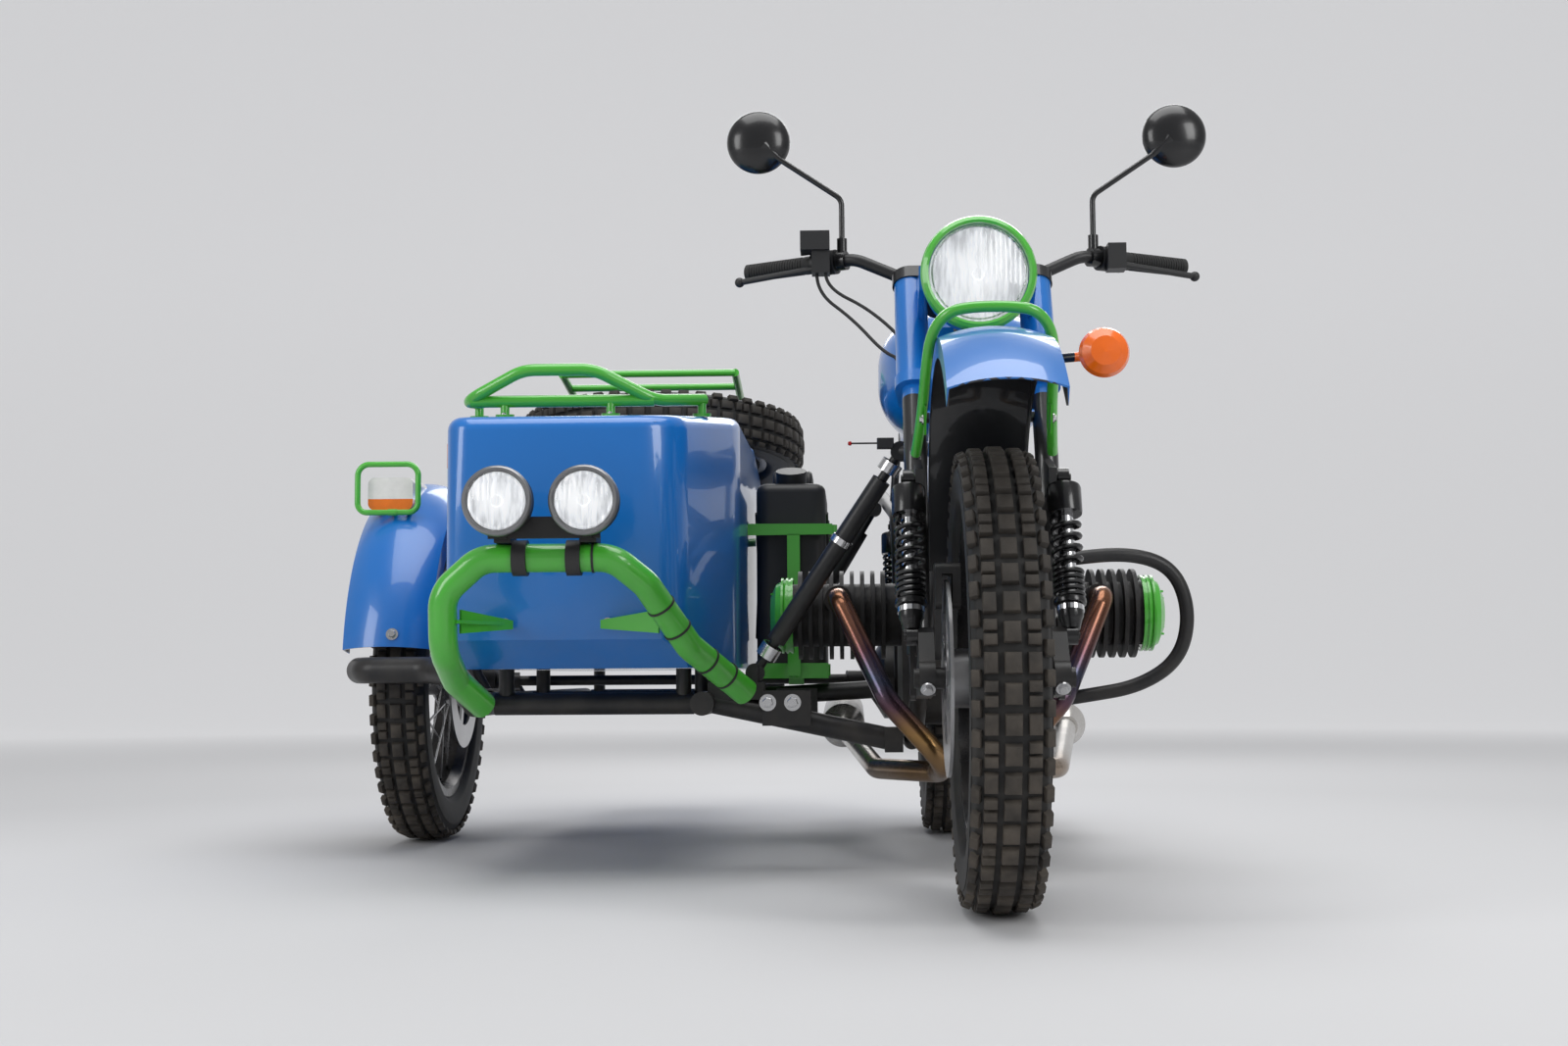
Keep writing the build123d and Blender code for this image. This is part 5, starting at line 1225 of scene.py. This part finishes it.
def simulate(mesh, cap):
    """Fills a closed cushion like a cushion cover, and caps how far each point may move."""
    scene = bpy.context.scene
    shell = add_object("cover", mesh)
    cloth = shell.modifiers.new("cover", "CLOTH")
    cloth.settings.use_pressure = True
    cloth.settings.uniform_pressure_force = PRESSURE
    cloth.settings.effector_weights.gravity = 0.0
    cloth.settings.quality = 5
    cloth.point_cache.frame_start, cloth.point_cache.frame_end = 1, FRAMES
    rest = [vert.co.copy() for vert in mesh.vertices]
    for number in range(1, FRAMES + 1):
        scene.frame_set(number)
    swollen = shell.evaluated_get(bpy.context.evaluated_depsgraph_get()).to_mesh()
    moved = [vert.co.copy() for vert in swollen.vertices]
    bpy.data.objects.remove(shell)
    scene.frame_set(1)
    for vert, before, after in zip(mesh.vertices, rest, moved):
        shift = after - before
        if shift.length > cap:
            shift *= cap / shift.length
        vert.co = before + shift


def remesh(bm, size):
    """An even skin of small faces over a rough form."""
    rough = add_object("rough", as_mesh(bm, "rough"))
    skin = rough.modifiers.new("skin", "REMESH")
    skin.mode = "VOXEL"
    skin.voxel_size = size
    depsgraph = bpy.context.evaluated_depsgraph_get()
    even = bpy.data.meshes.new_from_object(rough.evaluated_get(depsgraph))
    bpy.data.objects.remove(rough)
    return even


def sew(mesh, channels):
    """Draws the cover in along each channel, given as (axis, place)."""
    outward = [vert.normal.copy() for vert in mesh.vertices]
    for vert, normal in zip(mesh.vertices, outward):
        pull = sum(exp(-(((vert.co[axis] - place) / CHANNEL) ** 2)) for axis, place in channels)
        if normal.z > -0.2 and normal.y < 0.6:
            vert.co -= normal * (CHANNEL_DEEP * min(pull, 1.0))


def cushion(name, node, x, stations, rounding, cap, channels, voxel):
    """A stuffed seat: a form lofted along Y, filled, then sewn across at the channels.

    stations hold (y behind the front axle, lowest, highest, half width).
    """
    bm = bmesh.new()
    loops = []
    for y, low, high, half in stations:
        corners = ((-half, low), (half, low), (half, high), (-half, high))
        loops.append([bm.verts.new((x + dx, FRONT_HUB.y + y, z)) for dx, z in corners])
    for first, second in zip(loops, loops[1:]):
        for k in range(4):
            after = (k + 1) % 4
            bm.faces.new((first[k], first[after], second[after], second[k]))
    bm.faces.new(loops[0][::-1])
    bm.faces.new(loops[-1])
    bmesh.ops.recalc_face_normals(bm, faces=bm.faces)
    round_off(bm, bm.edges[:], rounding, 3)
    mesh = remesh(bm, voxel)
    simulate(mesh, cap)
    sew(mesh, channels)
    mesh.materials.clear()
    mesh.materials.append(VINYL)
    mesh.shade_smooth()
    mesh.name = name
    made = add_object(name, mesh)
    smooth = made.modifiers.new("rounding", "SUBSURF")
    smooth.levels = smooth.render_levels = 1
    settle(made, "chassis", [node])


# y, lowest, highest, half width
SADDLE = (
    (0.981, 0.818, 0.842, 0.078),
    (1.06, 0.814, 0.86, 0.104),
    (1.24, 0.812, 0.856, 0.112),
    (1.32, 0.816, 0.894, 0.111),
    (1.44, 0.838, 0.902, 0.108),
    (1.552, 0.862, 0.905, 0.096),
)
SADDLE_CHANNELS = [(1, FRONT_HUB.y + y) for y in (1.36, 1.41, 1.46, 1.51)]
SEAT_LOW, SEAT_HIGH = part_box("sidecar_seat")
SEAT_X = (SEAT_LOW.x + SEAT_HIGH.x) / 2
SEAT_WIDE = SEAT_HIGH.x - SEAT_LOW.x
SEAT_HALF = SEAT_WIDE / 2 - 0.012
SEAT_BASE = ((0.908, 0.44, 0.556), (1.06, 0.44, 0.548), (1.232, 0.44, 0.54))
SEAT_BACK = ((1.256, 0.57, 0.8), (1.288, 0.57, 0.826), (1.32, 0.57, 0.824))
SEAT_CHANNELS = [(0, SEAT_X + k * 0.078) for k in (-2, -1, 0, 1, 2)]
# middle, length and height of the two boxes that carry the cushions
SEAT_BOXES = ((1.071, 0.334, 0.452 - SEAT_LOW.z), (1.285, 0.082, 0.2))


def seats():
    cushion("saddle_cushion", "saddle", FRONT_HUB.x, SADDLE, 0.012, 0.006, SADDLE_CHANNELS, 0.006)
    for name, stations, rounding, cap in (
        ("sidecar_seat_base", SEAT_BASE, 0.022, 0.01),
        ("sidecar_seat_back", SEAT_BACK, 0.014, 0.008),
    ):
        rows = [(*station, SEAT_HALF) for station in stations]
        cushion(name, "sidecar_seat", SEAT_X, rows, rounding, cap, SEAT_CHANNELS, 0.007)
    bm = bmesh.new()
    for y, long, tall in SEAT_BOXES:
        place = Matrix.Translation((SEAT_X, FRONT_HUB.y + y, SEAT_LOW.z))
        lump(bm, place, (SEAT_WIDE - 0.004, long, tall), 1.0, 0.004)
    piece("sidecar_seat_box", bm, [MOULDING], ["sidecar_seat"])


seats()

# ---- Stage ----
PALE = (0.6, 0.6, 0.61, 1)
GLOW = (0.34, 0.34, 0.345, 1)  # light added to the far floor and the backdrop
GLOW_FROM, GLOW_TO = 2.5, 9.0
FLOOR_HALF, FLOOR_BACK = 30, 9
BEND_R = 4
WALL_TALL = 8
SKY = (0.86, 0.87, 0.88, 1)
SKY_STRENGTH = 0.42


def backdrop_mesh():
    """A floor that bends up into a wall behind."""
    bm = bmesh.new()
    ends = [bm.verts.new((-FLOOR_HALF, y, 0)) for y in (-FLOOR_HALF, FLOOR_BACK)]
    bmesh.ops.subdivide_edges(bm, edges=[bm.edges.new(ends)], cuts=1)
    rim = [vert for vert in bm.verts if vert.co.y == FLOOR_BACK]
    centre = (-FLOOR_HALF, FLOOR_BACK, BEND_R)
    bent = bmesh.ops.spin(bm, geom=rim, cent=centre, axis=ACROSS, angle=pi / 2, steps=16)
    top = only(BMVert, bent["geom_last"])
    grown = bmesh.ops.extrude_vert_indiv(bm, verts=top)["verts"]
    bmesh.ops.translate(bm, vec=(0, 0, WALL_TALL), verts=grown)
    swept = bmesh.ops.extrude_edge_only(bm, edges=bm.edges[:])["geom"]
    bmesh.ops.translate(bm, vec=(2 * FLOOR_HALF, 0, 0), verts=only(BMVert, swept))
    mesh = as_mesh(bm, "backdrop")
    mesh.shade_smooth()
    return mesh


def stage():
    """A pale floor and backdrop, lit a little more away from the middle."""
    material, tree, shader = new_material("pale floor")
    drifting = place_group(tree, SHADE_DRIFT, Colour=PALE, Drift=0.01, Scale=0.6)
    away = vector_calc(tree, "LENGTH", object_place(tree))["Value"]
    far = carried(tree, away, GLOW_FROM, GLOW_TO)
    fill(tree, shader, {
        "Base Color": drifting["Colour"],
        "Roughness": 0.85,
        "Emission Color": blend(tree, far, (0, 0, 0, 1), GLOW),
        "Emission Strength": 1.0,
    })
    mesh = backdrop_mesh()
    mesh.materials.append(material)
    backdrop = add_object("backdrop", mesh)


# name, place, target, width, height, power
LIGHTS = (
    ("overhead", (0.2, -0.6, 4.2), (0.1, 0.0, 0.3), 3.6, 3.0, 110),
    ("front_left", (3.4, -3.6, 2.6), (0.2, -0.4, 0.5), 1.6, 2.4, 70),
    ("front_right", (-3.6, -3.2, 2.2), (-0.3, -0.3, 0.5), 1.6, 2.4, 60),
    ("behind", (0.4, 3.8, 3.0), (0.0, 0.4, 0.6), 3.0, 1.6, 60),
)


def lights():
    for name, place, target, width, height, power in LIGHTS:
        data = bpy.data.lights.new(name, "AREA")
        data.shape = "RECTANGLE"
        data.size, data.size_y = width, height
        data.energy = power
        lamp = add_object(name, data)
        aim = (Vector(target) - Vector(place)).to_track_quat("-Z", "Y")
        lamp.matrix_world = Matrix.Translation(place) @ aim.to_matrix().to_4x4()
    world = bpy.data.worlds.new("studio")
    bpy.context.scene.world = world
    world.use_nodes = True
    background = world.node_tree.nodes["Background"]
    fill(world.node_tree, background, {"Color": SKY, "Strength": SKY_STRENGTH})
    bpy.context.scene.view_settings.view_transform = "Standard"


stage()
lights()
